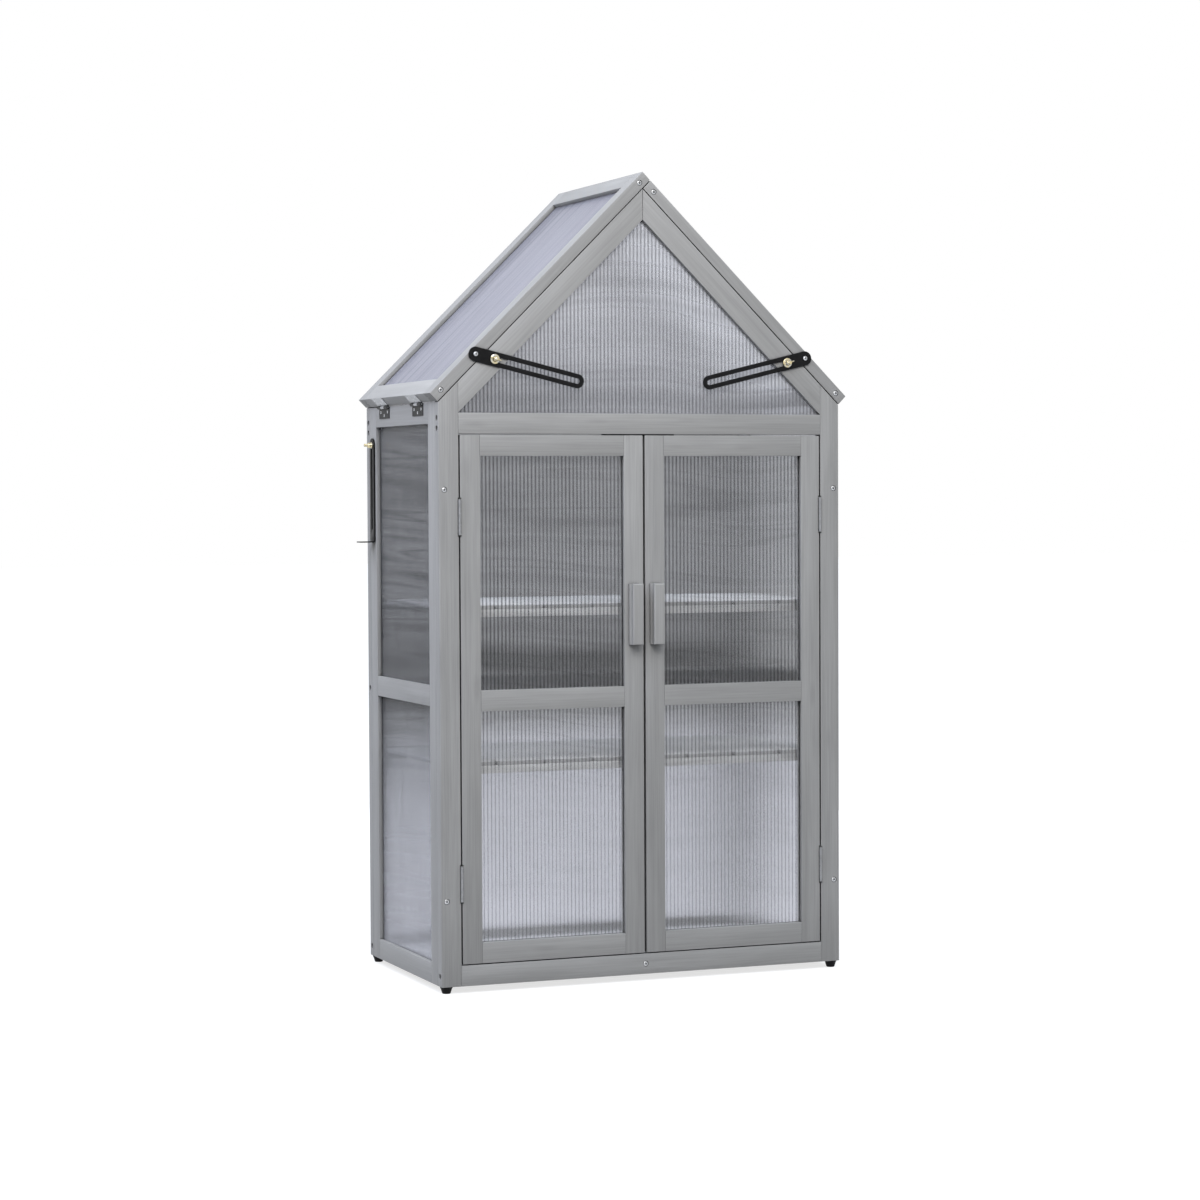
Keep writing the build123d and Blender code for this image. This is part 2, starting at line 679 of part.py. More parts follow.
bracket_x = -half_width - BRACKET_GAP
bracket_y = back_y - TIMBER_THICK - TIMBER_WIDTH / 2
bracket_z = FOOT_HEIGHT + POST_HEIGHT - BRACKET_BOLT_DROP
bracket_foot = bracket_z - BRACKET_DROP
strip_plane = Plane((bracket_x, bracket_y, bracket_z), x_dir=(0, 0, -1), z_dir=(-1, 0, 0))
tab_hole_x = bracket_x - BRACKET_THICK - BRACKET_BEND - (BRACKET_TAB - BRACKET_THICK - BRACKET_BEND) / 2
with BuildPart() as left_wall_bracket:
    with BuildSketch(Plane((bracket_x, bracket_y, bracket_foot), x_dir=(-1, 0, 0), z_dir=(0, 1, 0))):
        with BuildLine():
            Polyline(
                (0, 0),
                (BRACKET_TAB, 0),
                (BRACKET_TAB, BRACKET_THICK),
                (BRACKET_THICK, BRACKET_THICK),
                (BRACKET_THICK, BRACKET_DROP + BRACKET_WIDTH / 2),
                (0, BRACKET_DROP + BRACKET_WIDTH / 2),
                close=True,
            )
        make_face()
    extrude(amount=BRACKET_WIDTH / 2, both=True)
    bends = left_wall_bracket.edges().filter_by(Axis.Y).group_by(Axis.X)
    fillet(bends[-1].sort_by(Axis.Z)[0], BRACKET_BEND + BRACKET_THICK / 2)
    corners = left_wall_bracket.edges().filter_by(Axis.X).group_by(Axis.Z)[-1]
    fillet(corners, (BRACKET_WIDTH - BRACKET_TOP_FLAT) / 2)
    with BuildSketch(strip_plane):
        with Locations((BRACKET_SLOT_DROP / 2, 0)):
            SlotCenterToCenter(BRACKET_SLOT_DROP, BRACKET_SLOT)
    extrude(amount=BRACKET_THICK, mode=Mode.SUBTRACT)
    with BuildSketch(Plane((tab_hole_x, bracket_y, bracket_foot))):
        Circle(BRACKET_HOLE_RADIUS)
    extrude(amount=BRACKET_THICK, mode=Mode.SUBTRACT)
save_sides(left_wall_bracket, "wall_bracket")

bracket_bolt_plane = strip_plane.offset(BRACKET_THICK)
save_sides(
    make_clamp_bolt(bracket_bolt_plane, BRACKET_THICK + BRACKET_GAP - BOLT_CLEARANCE), "bracket_bolt"
)
save_sides(make_wing_nut(bracket_bolt_plane), "bracket_wing_nut")
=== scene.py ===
import json
import random
from collections import defaultdict
from math import cos, pi, radians, sin, tau

import bmesh
import bpy
from bpy.props import FloatProperty, FloatVectorProperty, PointerProperty
from mathutils import Matrix, Vector
from mathutils.geometry import convex_hull_2d


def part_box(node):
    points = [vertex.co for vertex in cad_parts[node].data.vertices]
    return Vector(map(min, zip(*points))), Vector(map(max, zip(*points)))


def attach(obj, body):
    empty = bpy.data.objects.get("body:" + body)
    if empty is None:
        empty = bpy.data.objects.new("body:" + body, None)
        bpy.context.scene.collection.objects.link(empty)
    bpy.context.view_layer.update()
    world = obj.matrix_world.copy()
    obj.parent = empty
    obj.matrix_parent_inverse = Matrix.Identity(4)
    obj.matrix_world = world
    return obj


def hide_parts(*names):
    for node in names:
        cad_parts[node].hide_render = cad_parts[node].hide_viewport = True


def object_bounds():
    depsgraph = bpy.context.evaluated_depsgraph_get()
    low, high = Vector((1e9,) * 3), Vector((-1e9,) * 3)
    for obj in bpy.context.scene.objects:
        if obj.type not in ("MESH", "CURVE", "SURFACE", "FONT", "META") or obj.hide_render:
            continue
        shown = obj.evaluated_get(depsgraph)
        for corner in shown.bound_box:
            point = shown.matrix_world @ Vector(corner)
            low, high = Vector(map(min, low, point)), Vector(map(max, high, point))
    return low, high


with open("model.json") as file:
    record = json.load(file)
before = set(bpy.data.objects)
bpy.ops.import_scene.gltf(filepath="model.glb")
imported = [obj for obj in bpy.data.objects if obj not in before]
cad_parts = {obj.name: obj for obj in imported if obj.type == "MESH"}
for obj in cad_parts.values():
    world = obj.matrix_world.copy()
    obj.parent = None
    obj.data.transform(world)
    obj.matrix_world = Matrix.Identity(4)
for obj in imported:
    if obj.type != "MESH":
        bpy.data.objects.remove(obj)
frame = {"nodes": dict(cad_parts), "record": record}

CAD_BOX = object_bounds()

bl_info = {
    "name": "Mini Greenhouse",
    "version": (1, 0, 0),
    "blender": (4, 5, 0),
    "location": "View3D > Sidebar > Greenhouse",
    "description": "Dresses a mini greenhouse: grey timber, fluted sheets, ironmongery and a plain stage",
    "category": "Object",
}

# Every length is in metres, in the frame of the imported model: +Z up, the front faces -Y.
MM = 0.001
NODES = frame["nodes"]
SUBPARTS = frame["record"]["subparts"]
BODY_OF = {node: body for body, nodes in frame["record"]["behaviour"]["bodies"].items() for node in nodes}
SIDES = (("left", -1), ("right", 1))
FRONT = Vector((0, -1, 0))
UP = Vector((0, 0, 1))

# How a mesh is welded and flattened, which edges are rounded, and which stay sharp in the light
WELD = 0.001 * MM
FLAT_ANGLE = radians(0.5)
SHARP_ANGLE = radians(25)
SHADE_ANGLE = radians(35)
# How nearly a direction has to lie along an axis to count as lying along it
SQUARE_ON = 0.9
# Points round a turned form
ROUND = 24

# Timber nodes with small round forms keep their own edges
MOULDED_TIMBER = ("left_door_handle", "right_door_handle")
# Boards run up, or else to the right or to the back
BOARD_LEAN = Vector((0.3, 0.2, 0.9))
# How far each board's grain is shifted at most, along the grain and across it
GRAIN_SHIFT = (40, 4, 4)
# How fine the marks of the timber are, along the grain and across it
RING_SCALE = (1.4, 52, 52)
FIBRE_SCALE = (9, 420, 420)
WASH_SCALE = (7, 19, 19)
KNOT_SCALE = (4.5, 21, 21)

# Screws that hold the frames together
POST_SCREW_HEIGHTS = (0.160, 0.868)
RAIL_SCREW_SPREAD = 9 * MM
RAFTER_SCREW_INSET = 18 * MM
RAIL_HALF = 18 * MM
SEAT_FLARE = 1.06
# The head of a frame screw, as shares of its radius: rings as radius and height, and the cross recess as
# arm, half width and height
SCREW_DOME = ((0.5, -0.6), (1.0, -0.12), (1.0, 0.0), (0.86, 0.1), (0.62, 0.14))
SCREW_CROSS = ((0.56, 0.16, 0.15), (0.42, 0.1, -0.3))

# Screws of a roof hinge: along the pin, and across the leaf
LEAF_SCREWS = ((-19 * MM, 2.5 * MM), (0, -3.5 * MM), (19 * MM, 2.5 * MM))
# The outer faces of the leaves look sideways and this much down, and how nearly a face has to do so
LEAF_DOWN = -0.5
LEAF_FACING = 0.5

# The pivot screw of a stay, with the rings of its head as shares of its radius and thickness
PIVOT_TIP_RADIUS = 2.2 * MM
PIVOT_TIP_LENGTH = 1 * MM
PIVOT_SHANK_RADIUS = 2.5 * MM
PIVOT_HEAD_THICK = 2.4 * MM
PIVOT_DOME = ((0.96, -1.0), (1.0, -0.8), (0.94, -0.42), (0.78, -0.14), (0.56, 0.0))
PIVOT_CROSS = ((0.48, 0.12, 0.0), (0.34, 0.07, -0.7))
PIVOT_TURN = radians(20)

# A wing nut in millimetres, as radius and height: the flange from its rim, then the hub and the bore
NUT_FLANGE = ((-0.2, 0.0), (0.0, 0.3), (-0.1, 0.9))
NUT_FLANGE_TOP = (-0.6, 1.2)
NUT_NARROWEST = 5.6
NUT_HUB = ((5.5, 1.4), (5.2, 2.2), (4.5, 6.9), (4.1, 7.5), (3.6, 7.7), (3.1, 7.3), (3.1, 0.0))
# A wing in millimetres, seen from the side: out from the hub, round its tip and back
WING_OUT = ((3.2, 1.5), (5.6, 1.9))
WING_TIP = (7.4, 6.2)
WING_TIP_RADIUS = 3.6
WING_TIP_ANGLES = range(-75, 136, 21)
WING_BACK = ((4.3, 6.4), (3.2, 5.4))
# A wing through its thickness: the place of a layer, and its size
WING_LAYERS = ((-1.0, 0.86), (-0.7, 1.0), (0.7, 1.0), (1.0, 0.86))
# Rings in one turn of a thread
THREAD_STEPS = 6

# A foot in millimetres, as radius and height: the sole from its least radius, the collar from the top
FOOT_SOLE = ((-1.2, 0.0), (-0.3, 0.4), (0.0, 1.2))
FOOT_TAPER = 0.8
FOOT_WAIST = 2.4 * MM
FOOT_COLLAR = ((0.0, -2.0), (0.0, -0.5), (-0.4, 0.0))

# Painted reflections: light and dark streaks across a sheet, as steps along its noise and tones
ARCS = ((0.3, 0.66), (0.42, 0.92), (0.47, 1.0), (0.5, 0.74), (0.53, 1.0), (0.6, 0.9), (0.7, 0.7))
# How the streaks lie: level on an upright sheet, and down the slope of a roof
ACROSS = (0.9, 0.9, 26.0)
DOWN_SLOPE = (2.0, 55.0, 2.0)
# How far the streaks sway up and down, and how often
SWAY = 0.025
SWAY_SCALE = (3.5, 1.5, 0.8)
# How fine the scuffs of a sheet are
SCUFF_SCALE = (700, 700, 3)
# Heights between which the painted flute shade and streaks of the sheets begin to show, and their share
# below
PLAIN_HEIGHTS = (0.3, 0.5)
PLAIN_SHARE = 0.18
# Height to which the tints of the sheets run
SHEET_TOP = 1.5
# Painted shade that a sheet takes on beside a web, where its flutes bend the light
PAINTED_WEB_SHADE = 0.25
# Share of the painted streaks that is also painted over what lies behind a sheet, and how strongly the
# sheet bends it
SEEN_STREAKS = 0.6
SHEET_IOR = 1.2
# Share of a skin's cover that holds back a lamp's light
LAMP_COVER = 0.05
# Quarters of a flute: its skins are level at three cuts, and sink at the fourth, where the web stands
FLUTE_STEPS = 4

# What the camera sees of the floor: its own light, and the part that shadows can darken
FLOOR_GLOW = 0.72
FLOOR_SHADE = 0.34
FLOOR_SQUARES = 8
# Clear surfaces that a ray can pass one after the other
CLEAR_SURFACES = 32
SENSOR_WIDTH = 36.0
FAR_CLIP = 200.0


def slot_nodes(slot):
    """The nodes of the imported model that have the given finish."""
    return [row["node"] for row in SUBPARTS if row["material_slot"] == slot]


def middle(node):
    """The middle of a node's box."""
    low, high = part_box(node)
    return (low + high) / 2


# Shader nodes


class Finish:
    """An empty material or world, with short ways to add and join its nodes."""

    def __init__(self, owner):
        owner.use_nodes = True
        self.owner = owner
        self.tree = owner.node_tree
        self.tree.nodes.clear()

    def add(self, kind, inputs, **settings):
        """Add a node with its settings, and set its inputs or link them to other nodes' outputs."""
        node = self.tree.nodes.new(f"ShaderNode{kind}")
        for name, value in settings.items():
            setattr(node, name, value)
        for name, value in inputs.items():
            if isinstance(value, bpy.types.NodeSocket):
                self.tree.links.new(value, node.inputs[name])
            else:
                node.inputs[name].default_value = value
        return node

    def attribute(self, name, output):
        """A value stored on the mesh."""
        return self.add("Attribute", {}, attribute_name=name).outputs[output]

    def place(self):
        """Where a point lies on the object, in metres."""
        return self.add("TexCoord", {}).outputs["Object"]

    def stretch(self, vector, scale):
        """Scale a place along each of its axes."""
        return self.add("Mapping", {"Vector": vector, "Scale": scale}).outputs["Vector"]

    def noise(self, vector, detail=2.0, distortion=0.0, scale=1.0):
        """Soft noise from 0 to 1."""
        inputs = {"Vector": vector, "Scale": scale, "Detail": detail, "Distortion": distortion}
        return self.add("TexNoise", inputs).outputs["Fac"]

    def ramp(self, factor, *stops):
        """Colours along a factor, as pairs of place and colour."""
        node = self.add("ValToRGB", {"Fac": factor})
        elements = node.color_ramp.elements
        while len(elements) < len(stops):
            elements.new(0.5)
        while len(elements) > len(stops):
            elements.remove(elements[-1])
        for element, (place, colour) in zip(elements, stops):
            element.position = place
            element.color = opaque(colour)
        return node.outputs["Color"]

    def span(self, value, low, high, to_low=0.0, to_high=1.0):
        """Map a range of a value to another range, and hold it there."""
        inputs = {"Value": value, "From Min": low, "From Max": high, "To Min": to_low, "To Max": to_high}
        return self.add("MapRange", inputs, clamp=True).outputs["Result"]

    def times(self, first, second):
        """Two values multiplied."""
        return self.add("Math", {0: first, 1: second}, operation="MULTIPLY").outputs[0]

    def plus(self, first, second):
        """Two values added."""
        return self.add("Math", {0: first, 1: second}, operation="ADD").outputs[0]

    def blend(self, factor, first, second, how="MIX"):
        """Mix two colours."""
        inputs = {0: factor, 6: first, 7: second}
        return self.add("Mix", inputs, data_type="RGBA", blend_type=how).outputs[2]

    def relief(self, height, strength, depth):
        """A bumped normal."""
        inputs = {"Height": height, "Strength": strength, "Distance": depth}
        return self.add("Bump", inputs).outputs["Normal"]

    def vectors(self, operation, inputs):
        """A calculation on vectors."""
        return self.add("VectorMath", inputs, operation=operation).outputs[0]

    def sideways(self, place, amount):
        """A normal tipped at random to the left and right, as flutes bend light."""
        normal = self.add("NewGeometry", {}).outputs["Normal"]
        level = self.vectors("CROSS_PRODUCT", {0: normal, 1: UP})
        grain = self.add("TexWhiteNoise", {"Vector": place}, noise_dimensions="3D").outputs["Value"]
        tip = self.vectors("SCALE", {0: level, "Scale": self.span(grain, 0.0, 1.0, -amount, amount)})
        return self.vectors("NORMALIZE", {0: self.vectors("ADD", {0: normal, 1: tip})})

    def shader(self, kind, inputs):
        """Add a shader node and give back its output."""
        return self.add(kind, inputs).outputs[0]

    def shared(self, share, first, second):
        """Two shaders mixed, the second by its share."""
        return self.shader("MixShader", {0: share, 1: first, 2: second})

    def end(self, shader, kind="OutputMaterial"):
        """Join the last shader to the output."""
        self.add(kind, {"Surface": shader})
        return self.owner

    def surface(self, inputs):
        """End a material in a principled surface."""
        return self.end(self.shader("BsdfPrincipled", inputs))


def new_finish(name):
    """A finish on a new material."""
    return Finish(bpy.data.materials.new(name))


def shade(colour, factor):
    """A colour made lighter or darker."""
    return tuple(min(1.0, part * factor) for part in colour)


def grey(level):
    """A neutral colour."""
    return (level, level, level)


def opaque(colour):
    """A colour as a socket takes it, with full cover."""
    return (*colour, 1.0)


WHITE = opaque(grey(1.0))


# Finishes


def timber_finish(name, stain, timber):
    """Stained softwood: streaks along the grain, an uneven wash, small knots, rubbed edges, and painted
    shade in the joints and crevices.
    """
    wood = new_finish(name)
    grain = wood.attribute("grain", "Vector")
    rings = wood.noise(wood.stretch(grain, RING_SCALE), detail=3.0, distortion=0.7)
    fibre = wood.noise(wood.stretch(grain, FIBRE_SCALE), detail=4.0)
    wash = wood.noise(wood.stretch(grain, WASH_SCALE), detail=3.0)
    streak = timber.streak
    colour = wood.ramp(rings, (0.32, shade(stain, 1 - streak)), (0.68, shade(stain, 1 + streak)))
    layers = (
        wood.ramp(fibre, (0.3, grey(0.86)), (0.62, grey(1.0))),
        wood.ramp(wash, (0.3, grey(0.91)), (0.7, grey(1.0))),
        wood.ramp(wood.attribute("tone", "Fac"), (0.0, grey(1 - timber.board_variation)), (1.0, grey(1.0))),
    )
    for layer in layers:
        colour = wood.blend(1.0, colour, layer, "MULTIPLY")
    cells = wood.add("TexVoronoi", {"Vector": wood.stretch(grain, KNOT_SCALE), "Scale": 1.0})
    knot = wood.span(cells.outputs["Distance"], 0.05, 0.14, timber.knots, 0.0)
    colour = wood.blend(knot, colour, opaque(shade(stain, 0.55)))
    rubbed = wood.times(wood.attribute("edge", "Fac"), wood.span(wash, 0.35, 0.65, 0.0, 0.3))
    colour = wood.blend(rubbed, colour, opaque(shade(stain, 1.3)))
    ends = wood.times(wood.attribute("end", "Fac"), timber.end_grain)
    colour = wood.blend(ends, colour, opaque(shade(stain, 0.3)))
    # Painted shade: ambient occlusion darkens the timber almost to black in joints, gaps and next to the
    # sheets
    crevice = wood.add("AmbientOcclusion", {"Distance": timber.joint_reach}, samples=4).outputs["AO"]
    painted_joint_shade = wood.ramp(crevice, (0.12, grey(0.04)), (0.82, grey(1.0)))
    height = wood.plus(wood.times(fibre, 0.6), wood.times(rings, 0.4))
    rough = timber.roughness
    return wood.surface(
        {
            "Base Color": wood.blend(1.0, colour, painted_joint_shade, "MULTIPLY"),
            "Roughness": wood.span(fibre, 0.25, 0.75, rough - 0.08, rough + 0.1),
            "Specular IOR Level": 0.4,
            "Normal": wood.relief(height, 0.35, 0.4 * MM),
        }
    )


def sheet_finish(name, stops, cover, glow, bands, stripe, blur=0.0, lay=ACROSS, lean=0.0):
    """Twin-wall skin: a clear part that blurs sideways, and a milky part that lets some light through.

    The stops give the tint by height: painted light, shade and reflection of the sheet's surroundings. With
    a lean, the tint also changes from left to right, as painted light that is brighter to one side.
    """
    skin = new_finish(name)
    place = skin.place()
    axes = skin.add("SeparateXYZ", {"Vector": place}).outputs
    sway = skin.noise(skin.stretch(place, SWAY_SCALE), detail=0.0)
    level = skin.plus(axes["Z"], skin.span(sway, 0.25, 0.75, -SWAY, SWAY))
    strength = skin.span(level, *PLAIN_HEIGHTS, PLAIN_SHARE, 1.0)
    tilted = skin.plus(level, skin.times(axes["X"], lean)) if lean else level
    tones = [(height / SHEET_TOP, tone) for height, tone in stops]
    tint = skin.ramp(skin.span(tilted, 0.0, SHEET_TOP), *tones)
    swayed = skin.add("CombineXYZ", {"X": axes["X"], "Y": axes["Y"], "Z": level}).outputs["Vector"]
    streaks = skin.noise(skin.stretch(swayed, lay), detail=1.5)
    # Painted reflections: light and dark streaks across the sheet
    painted_streaks = skin.ramp(streaks, *[(step, grey(tone)) for step, tone in ARCS])
    # Painted shade: the skin is darker beside each web, where the flutes bend the light
    beside_web = skin.times(skin.attribute("flute", "Fac"), skin.times(strength, stripe))
    painted_web_shade = opaque(grey(PAINTED_WEB_SHADE))
    tint = skin.blend(skin.times(strength, bands), tint, painted_streaks, "MULTIPLY")
    tint = skin.blend(beside_web, tint, painted_web_shade, "MULTIPLY")
    scuff = skin.noise(skin.stretch(place, SCUFF_SCALE), detail=2.0)
    haze = {
        "Base Color": tint,
        "Roughness": skin.span(scuff, 0.3, 0.7, 0.14, 0.26),
        "Normal": skin.relief(scuff, 0.06, 0.2 * MM),
        "IOR": 1.5,
        "Specular IOR Level": 0.2,
    }
    through = skin.shader("BsdfTranslucent", {"Color": tint})
    milk = skin.shared(glow, skin.shader("BsdfPrincipled", haze), through)
    seen = skin.shader("BsdfTransparent", {"Color": WHITE})
    path = skin.add("LightPath", {}).outputs
    lamp_light = skin.span(skin.plus(path["Is Shadow Ray"], path["Is Diffuse Ray"]), 0.0, 1.0)
    if blur:
        # Painted shade and reflections on what is seen through the sheet: dark lines beside the webs, and
        # the streaks
        lines = skin.blend(beside_web, WHITE, painted_web_shade)
        lines = skin.blend(skin.times(strength, bands * SEEN_STREAKS), lines, painted_streaks, "MULTIPLY")
        normal = skin.sideways(place, blur)
        bent = {"Color": lines, "Roughness": 0.0, "IOR": SHEET_IOR, "Normal": normal}
        seen = skin.shared(lamp_light, skin.shader("BsdfRefraction", bent), seen)
    share = skin.span(streaks, 0.3, 0.7, min(1.0, cover * 1.1), cover * 0.9)
    share = skin.times(share, skin.span(lamp_light, 0.0, 1.0, 1.0, LAMP_COVER))
    return skin.end(skin.shared(share, seen, milk))


def web_finish(name, shadow):
    """The webs between the skins, which show as fine upright lines and let lamps shine past."""
    web = new_finish(name)
    streaks = web.noise(web.stretch(web.place(), (30, 30, 6)), detail=2.0)
    lamp_light = web.add("LightPath", {}).outputs["Is Shadow Ray"]
    seen = web.ramp(streaks, (0.3, shade(shadow, 0.9)), (0.7, shadow))
    colour = web.blend(lamp_light, seen, WHITE)
    return web.end(web.shader("BsdfTransparent", {"Color": colour}))


def painted_finish(name, colour, roughness, peel):
    """Sprayed or moulded dark finish with a fine orange peel and a little wear."""
    paint = new_finish(name)
    place = paint.place()
    mottle = paint.noise(place, detail=3.0, scale=90.0)
    skin = paint.noise(place, detail=2.0, scale=1400.0)
    return paint.surface(
        {
            "Base Color": paint.ramp(mottle, (0.3, shade(colour, 0.75)), (0.75, shade(colour, 1.5))),
            "Roughness": paint.span(mottle, 0.3, 0.7, roughness - 0.07, roughness + 0.07),
            "Specular IOR Level": 0.12,
            "Normal": paint.relief(skin, peel, 0.1 * MM),
        }
    )


def plated_finish(name, colour, tinge, roughness):
    """Zinc plate: bright metal with cloudy tinges and fine scratches."""
    plate = new_finish(name)
    place = plate.place()
    cloud = plate.noise(place, detail=3.0, scale=170.0)
    scratch = plate.noise(plate.stretch(place, (2600, 900, 900)), detail=2.0)
    return plate.surface(
        {
            "Base Color": plate.ramp(cloud, (0.3, tinge), (0.6, colour), (0.8, shade(colour, 1.12))),
            "Metallic": 0.9,
            "Roughness": plate.span(scratch, 0.3, 0.7, roughness - 0.08, roughness + 0.1),
            "Normal": plate.relief(scratch, 0.06, 0.05 * MM),
        }
    )


# Meshes


def node_mesh(node):
    """A clean copy of a node's mesh, with its flat faces whole again."""
    source = NODES[node].data
    plain = bpy.data.meshes.new(node)
    plain.from_pydata([v.co for v in source.vertices], [], [tuple(p.vertices) for p in source.polygons])
    bm = bmesh.new()
    bm.from_mesh(plain)
    bpy.data.meshes.remove(plain)
    bmesh.ops.remove_doubles(bm, verts=bm.verts, dist=WELD)
    bmesh.ops.dissolve_limit(bm, angle_limit=FLAT_ANGLE, verts=bm.verts, edges=bm.edges)
    return bm


def round_edges(bm, radius, shortest):
    """Round the outer edges that are longer than the given length."""
    edges = [
        edge
        for edge in bm.edges
        if edge.is_manifold
        and edge.is_convex
        and edge.calc_length() > shortest
        and edge.calc_face_angle() > SHARP_ANGLE
    ]
    bmesh.ops.bevel(
        bm, geom=edges, offset=radius, segments=2, profile=0.6, affect="EDGES", clamp_overlap=False
    )


def islands(bm):
    """The separate solids of a mesh, as lists of vertices in the mesh's own order."""
    bm.verts.ensure_lookup_table()
    seen = set()
    found = []
    for start in bm.verts:
        if start in seen:
            continue
        seen.add(start)
        group = [start]
        for vert in group:
            for edge in vert.link_edges:
                other = edge.other_vert(vert)
                if other not in seen:
                    seen.add(other)
                    group.append(other)
        found.append(group)
    return found


def faces_of(group):
    """The faces of a solid, in the order of its vertices."""
    return list(dict.fromkeys(face for vert in group for face in vert.link_faces))


def centre_of(group):
    """The mean place of a solid's vertices."""
    return sum((vert.co for vert in group), Vector()) / len(group)


def longest_way(group):
    """The direction of a solid's longest edge, pointing up or to the right or to the back."""
    edges = dict.fromkeys(edge for vert in group for edge in vert.link_edges)
    longest = max(edges, key=lambda edge: edge.calc_length())
    way = (longest.verts[1].co - longest.verts[0].co).normalized()
    return way if way.dot(BOARD_LEAN) > 0 else -way


def reach(group, way):
    """The lowest and highest place of a solid along a direction."""
    places = [vert.co.dot(way) for vert in group]
    return min(places), max(places)


def lay_grain(bm, seed, thin):
    """Store each board's own grain direction and tone, and mark its rounded edges and its ends."""
    draw = random.Random(seed)
    grain = bm.verts.layers.float_vector.new("grain")
    tone = bm.verts.layers.float.new("tone")
    edge_mark = bm.faces.layers.float.new("edge")
    end_mark = bm.faces.layers.float.new("end")
    for group in islands(bm):
        along = longest_way(group)
        beside = Vector((1, 0, 0)) if abs(along.y) >= SQUARE_ON else -FRONT
        across = along.cross(beside).normalized()
        through = along.cross(across)
        shift = Vector([draw.uniform(0, far) for far in GRAIN_SHIFT])
        board_tone = draw.random()
        for vert in group:
            vert[grain] = Vector((vert.co.dot(along), vert.co.dot(across), vert.co.dot(through))) + shift
            vert[tone] = board_tone
            for face in vert.link_faces:
                face[end_mark] = 1.0 if abs(face.normal.dot(along)) > SQUARE_ON else 0.0
    for face in bm.faces:
        longest = max(edge.calc_length() for edge in face.edges)
        face[edge_mark] = 1.0 if face.calc_area() < thin * longest else 0.0


def plain_mesh(bm, name):
    """Write a mesh and free what it was built in."""
    mesh = bpy.data.meshes.new(name)
    bm.to_mesh(mesh)
    bm.free()
    return mesh


def finish_mesh(bm, name):
    """Write a mesh, smooth it and keep its sharp edges."""
    mesh = plain_mesh(bm, name)
    mesh.shade_smooth()
    mesh.set_sharp_from_angle(angle=SHADE_ANGLE)
    return mesh


def put_piece(name, bm, body, slot, materials, *nodes):
    """Make a piece of a mesh, give it its finish and fix it to a body."""
    mesh = finish_mesh(bm, name)
    for material in materials:
        mesh.materials.append(material)
    piece = bpy.data.objects.new(name, mesh)
    bpy.context.scene.collection.objects.link(piece)
    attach(piece, body)
    if nodes:
        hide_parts(*nodes)
    return piece


def paint_node(node, material):
    """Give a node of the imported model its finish."""
    slots = NODES[node].data.materials
    slots.clear()
    slots.append(material)


def circle(radius, height):
    """A ring of points round the Z axis."""
    return [(radius * cos(tau * i / ROUND), radius * sin(tau * i / ROUND), height) for i in range(ROUND)]


def cross(arm, half, height):
    """A ring of points round a cross, with as many points as a circle."""
    between = (arm + half) / 2
    quarter = ((arm, 0), (arm, half), (between, half), (half, half), (half, between), (half, arm))
    points = []
    for turn in range(4):
        for x, y in quarter:
            for _ in range(turn):
                x, y = -y, x
            points.append((x, y, height))
    return points


def loft(bm, rings, place, closed=False, recess=None):
    """Join rings of points into a solid, capped or closed into a loop. A recess takes the second finish, a
    painted shade.
    """
    rows = [[bm.verts.new(place @ Vector(point)) for point in ring] for ring in rings]
    pairs = list(zip(rows, rows[1:]))
    if closed:
        pairs.append((rows[-1], rows[0]))
    else:
        bm.faces.new(rows[0][::-1])
        cap = bm.faces.new(rows[-1])
        cap.material_index = 0 if recess is None else 1
    for number, (below, above) in enumerate(pairs):
        for i in range(len(below)):
            j = (i + 1) % len(below)
            face = bm.faces.new((below[i], below[j], above[j], above[i]))
            face.material_index = 1 if number == recess else 0


def facing(point, normal, turn=0.0):
    """The place of a form that stands on a point with its Z axis along a normal."""
    upright = normal.to_track_quat("Z", "Y").to_matrix().to_4x4()
    return Matrix.Translation(point) @ upright @ Matrix.Rotation(turn, 4, "Z")


def screw_rings(radius, tall, dome, recess, sunk=0.0):
    """The rings of a screw's head, from its underside to the bottom of its cross recess."""
    rings = [circle(radius * share, tall * height - sunk) for share, height in dome]
    for arm, half, height in recess:
        rings.append(cross(radius * arm, radius * half, tall * height - sunk))
    return rings


def screw_head(bm, place, radius, sunk):
    """A low domed screw head with a cross recess in painted shade, set below the surface by a small
    distance.
    """
    rings = screw_rings(radius, radius, SCREW_DOME, SCREW_CROSS, sunk)
    loft(bm, rings, place, recess=len(rings) - 2)


def cut_seats(bm, seats, radius):
    """Sink round screw seats, as points, normals and depths, into a mesh, and give back the new mesh."""
    cutter_bm = bmesh.new()
    for point, normal, depth in seats:
        loft(cutter_bm, [circle(radius, -depth), circle(radius * SEAT_FLARE, depth)], facing(point, normal))
    meshes = [plain_mesh(cutter_bm, "seat_cutter"), plain_mesh(bm, "seat_blank")]
    items = [bpy.data.objects.new(mesh.name, mesh) for mesh in meshes]
    for item in items:
        bpy.context.scene.collection.objects.link(item)
    cutter, blank = items
    cut = blank.modifiers.new("seats", "BOOLEAN")
    cut.object = cutter
    cut.operation = "DIFFERENCE"
    cut.solver = "EXACT"
    bpy.context.view_layer.update()
    cut_blank = blank.evaluated_get(bpy.context.evaluated_depsgraph_get())
    meshes.append(bpy.data.meshes.new_from_object(cut_blank))
    result = bmesh.new()
    result.from_mesh(meshes[-1])
    for item in items:
        bpy.data.objects.remove(item)
    for mesh in meshes:
        bpy.data.meshes.remove(mesh)
    return result


# Where the screws are


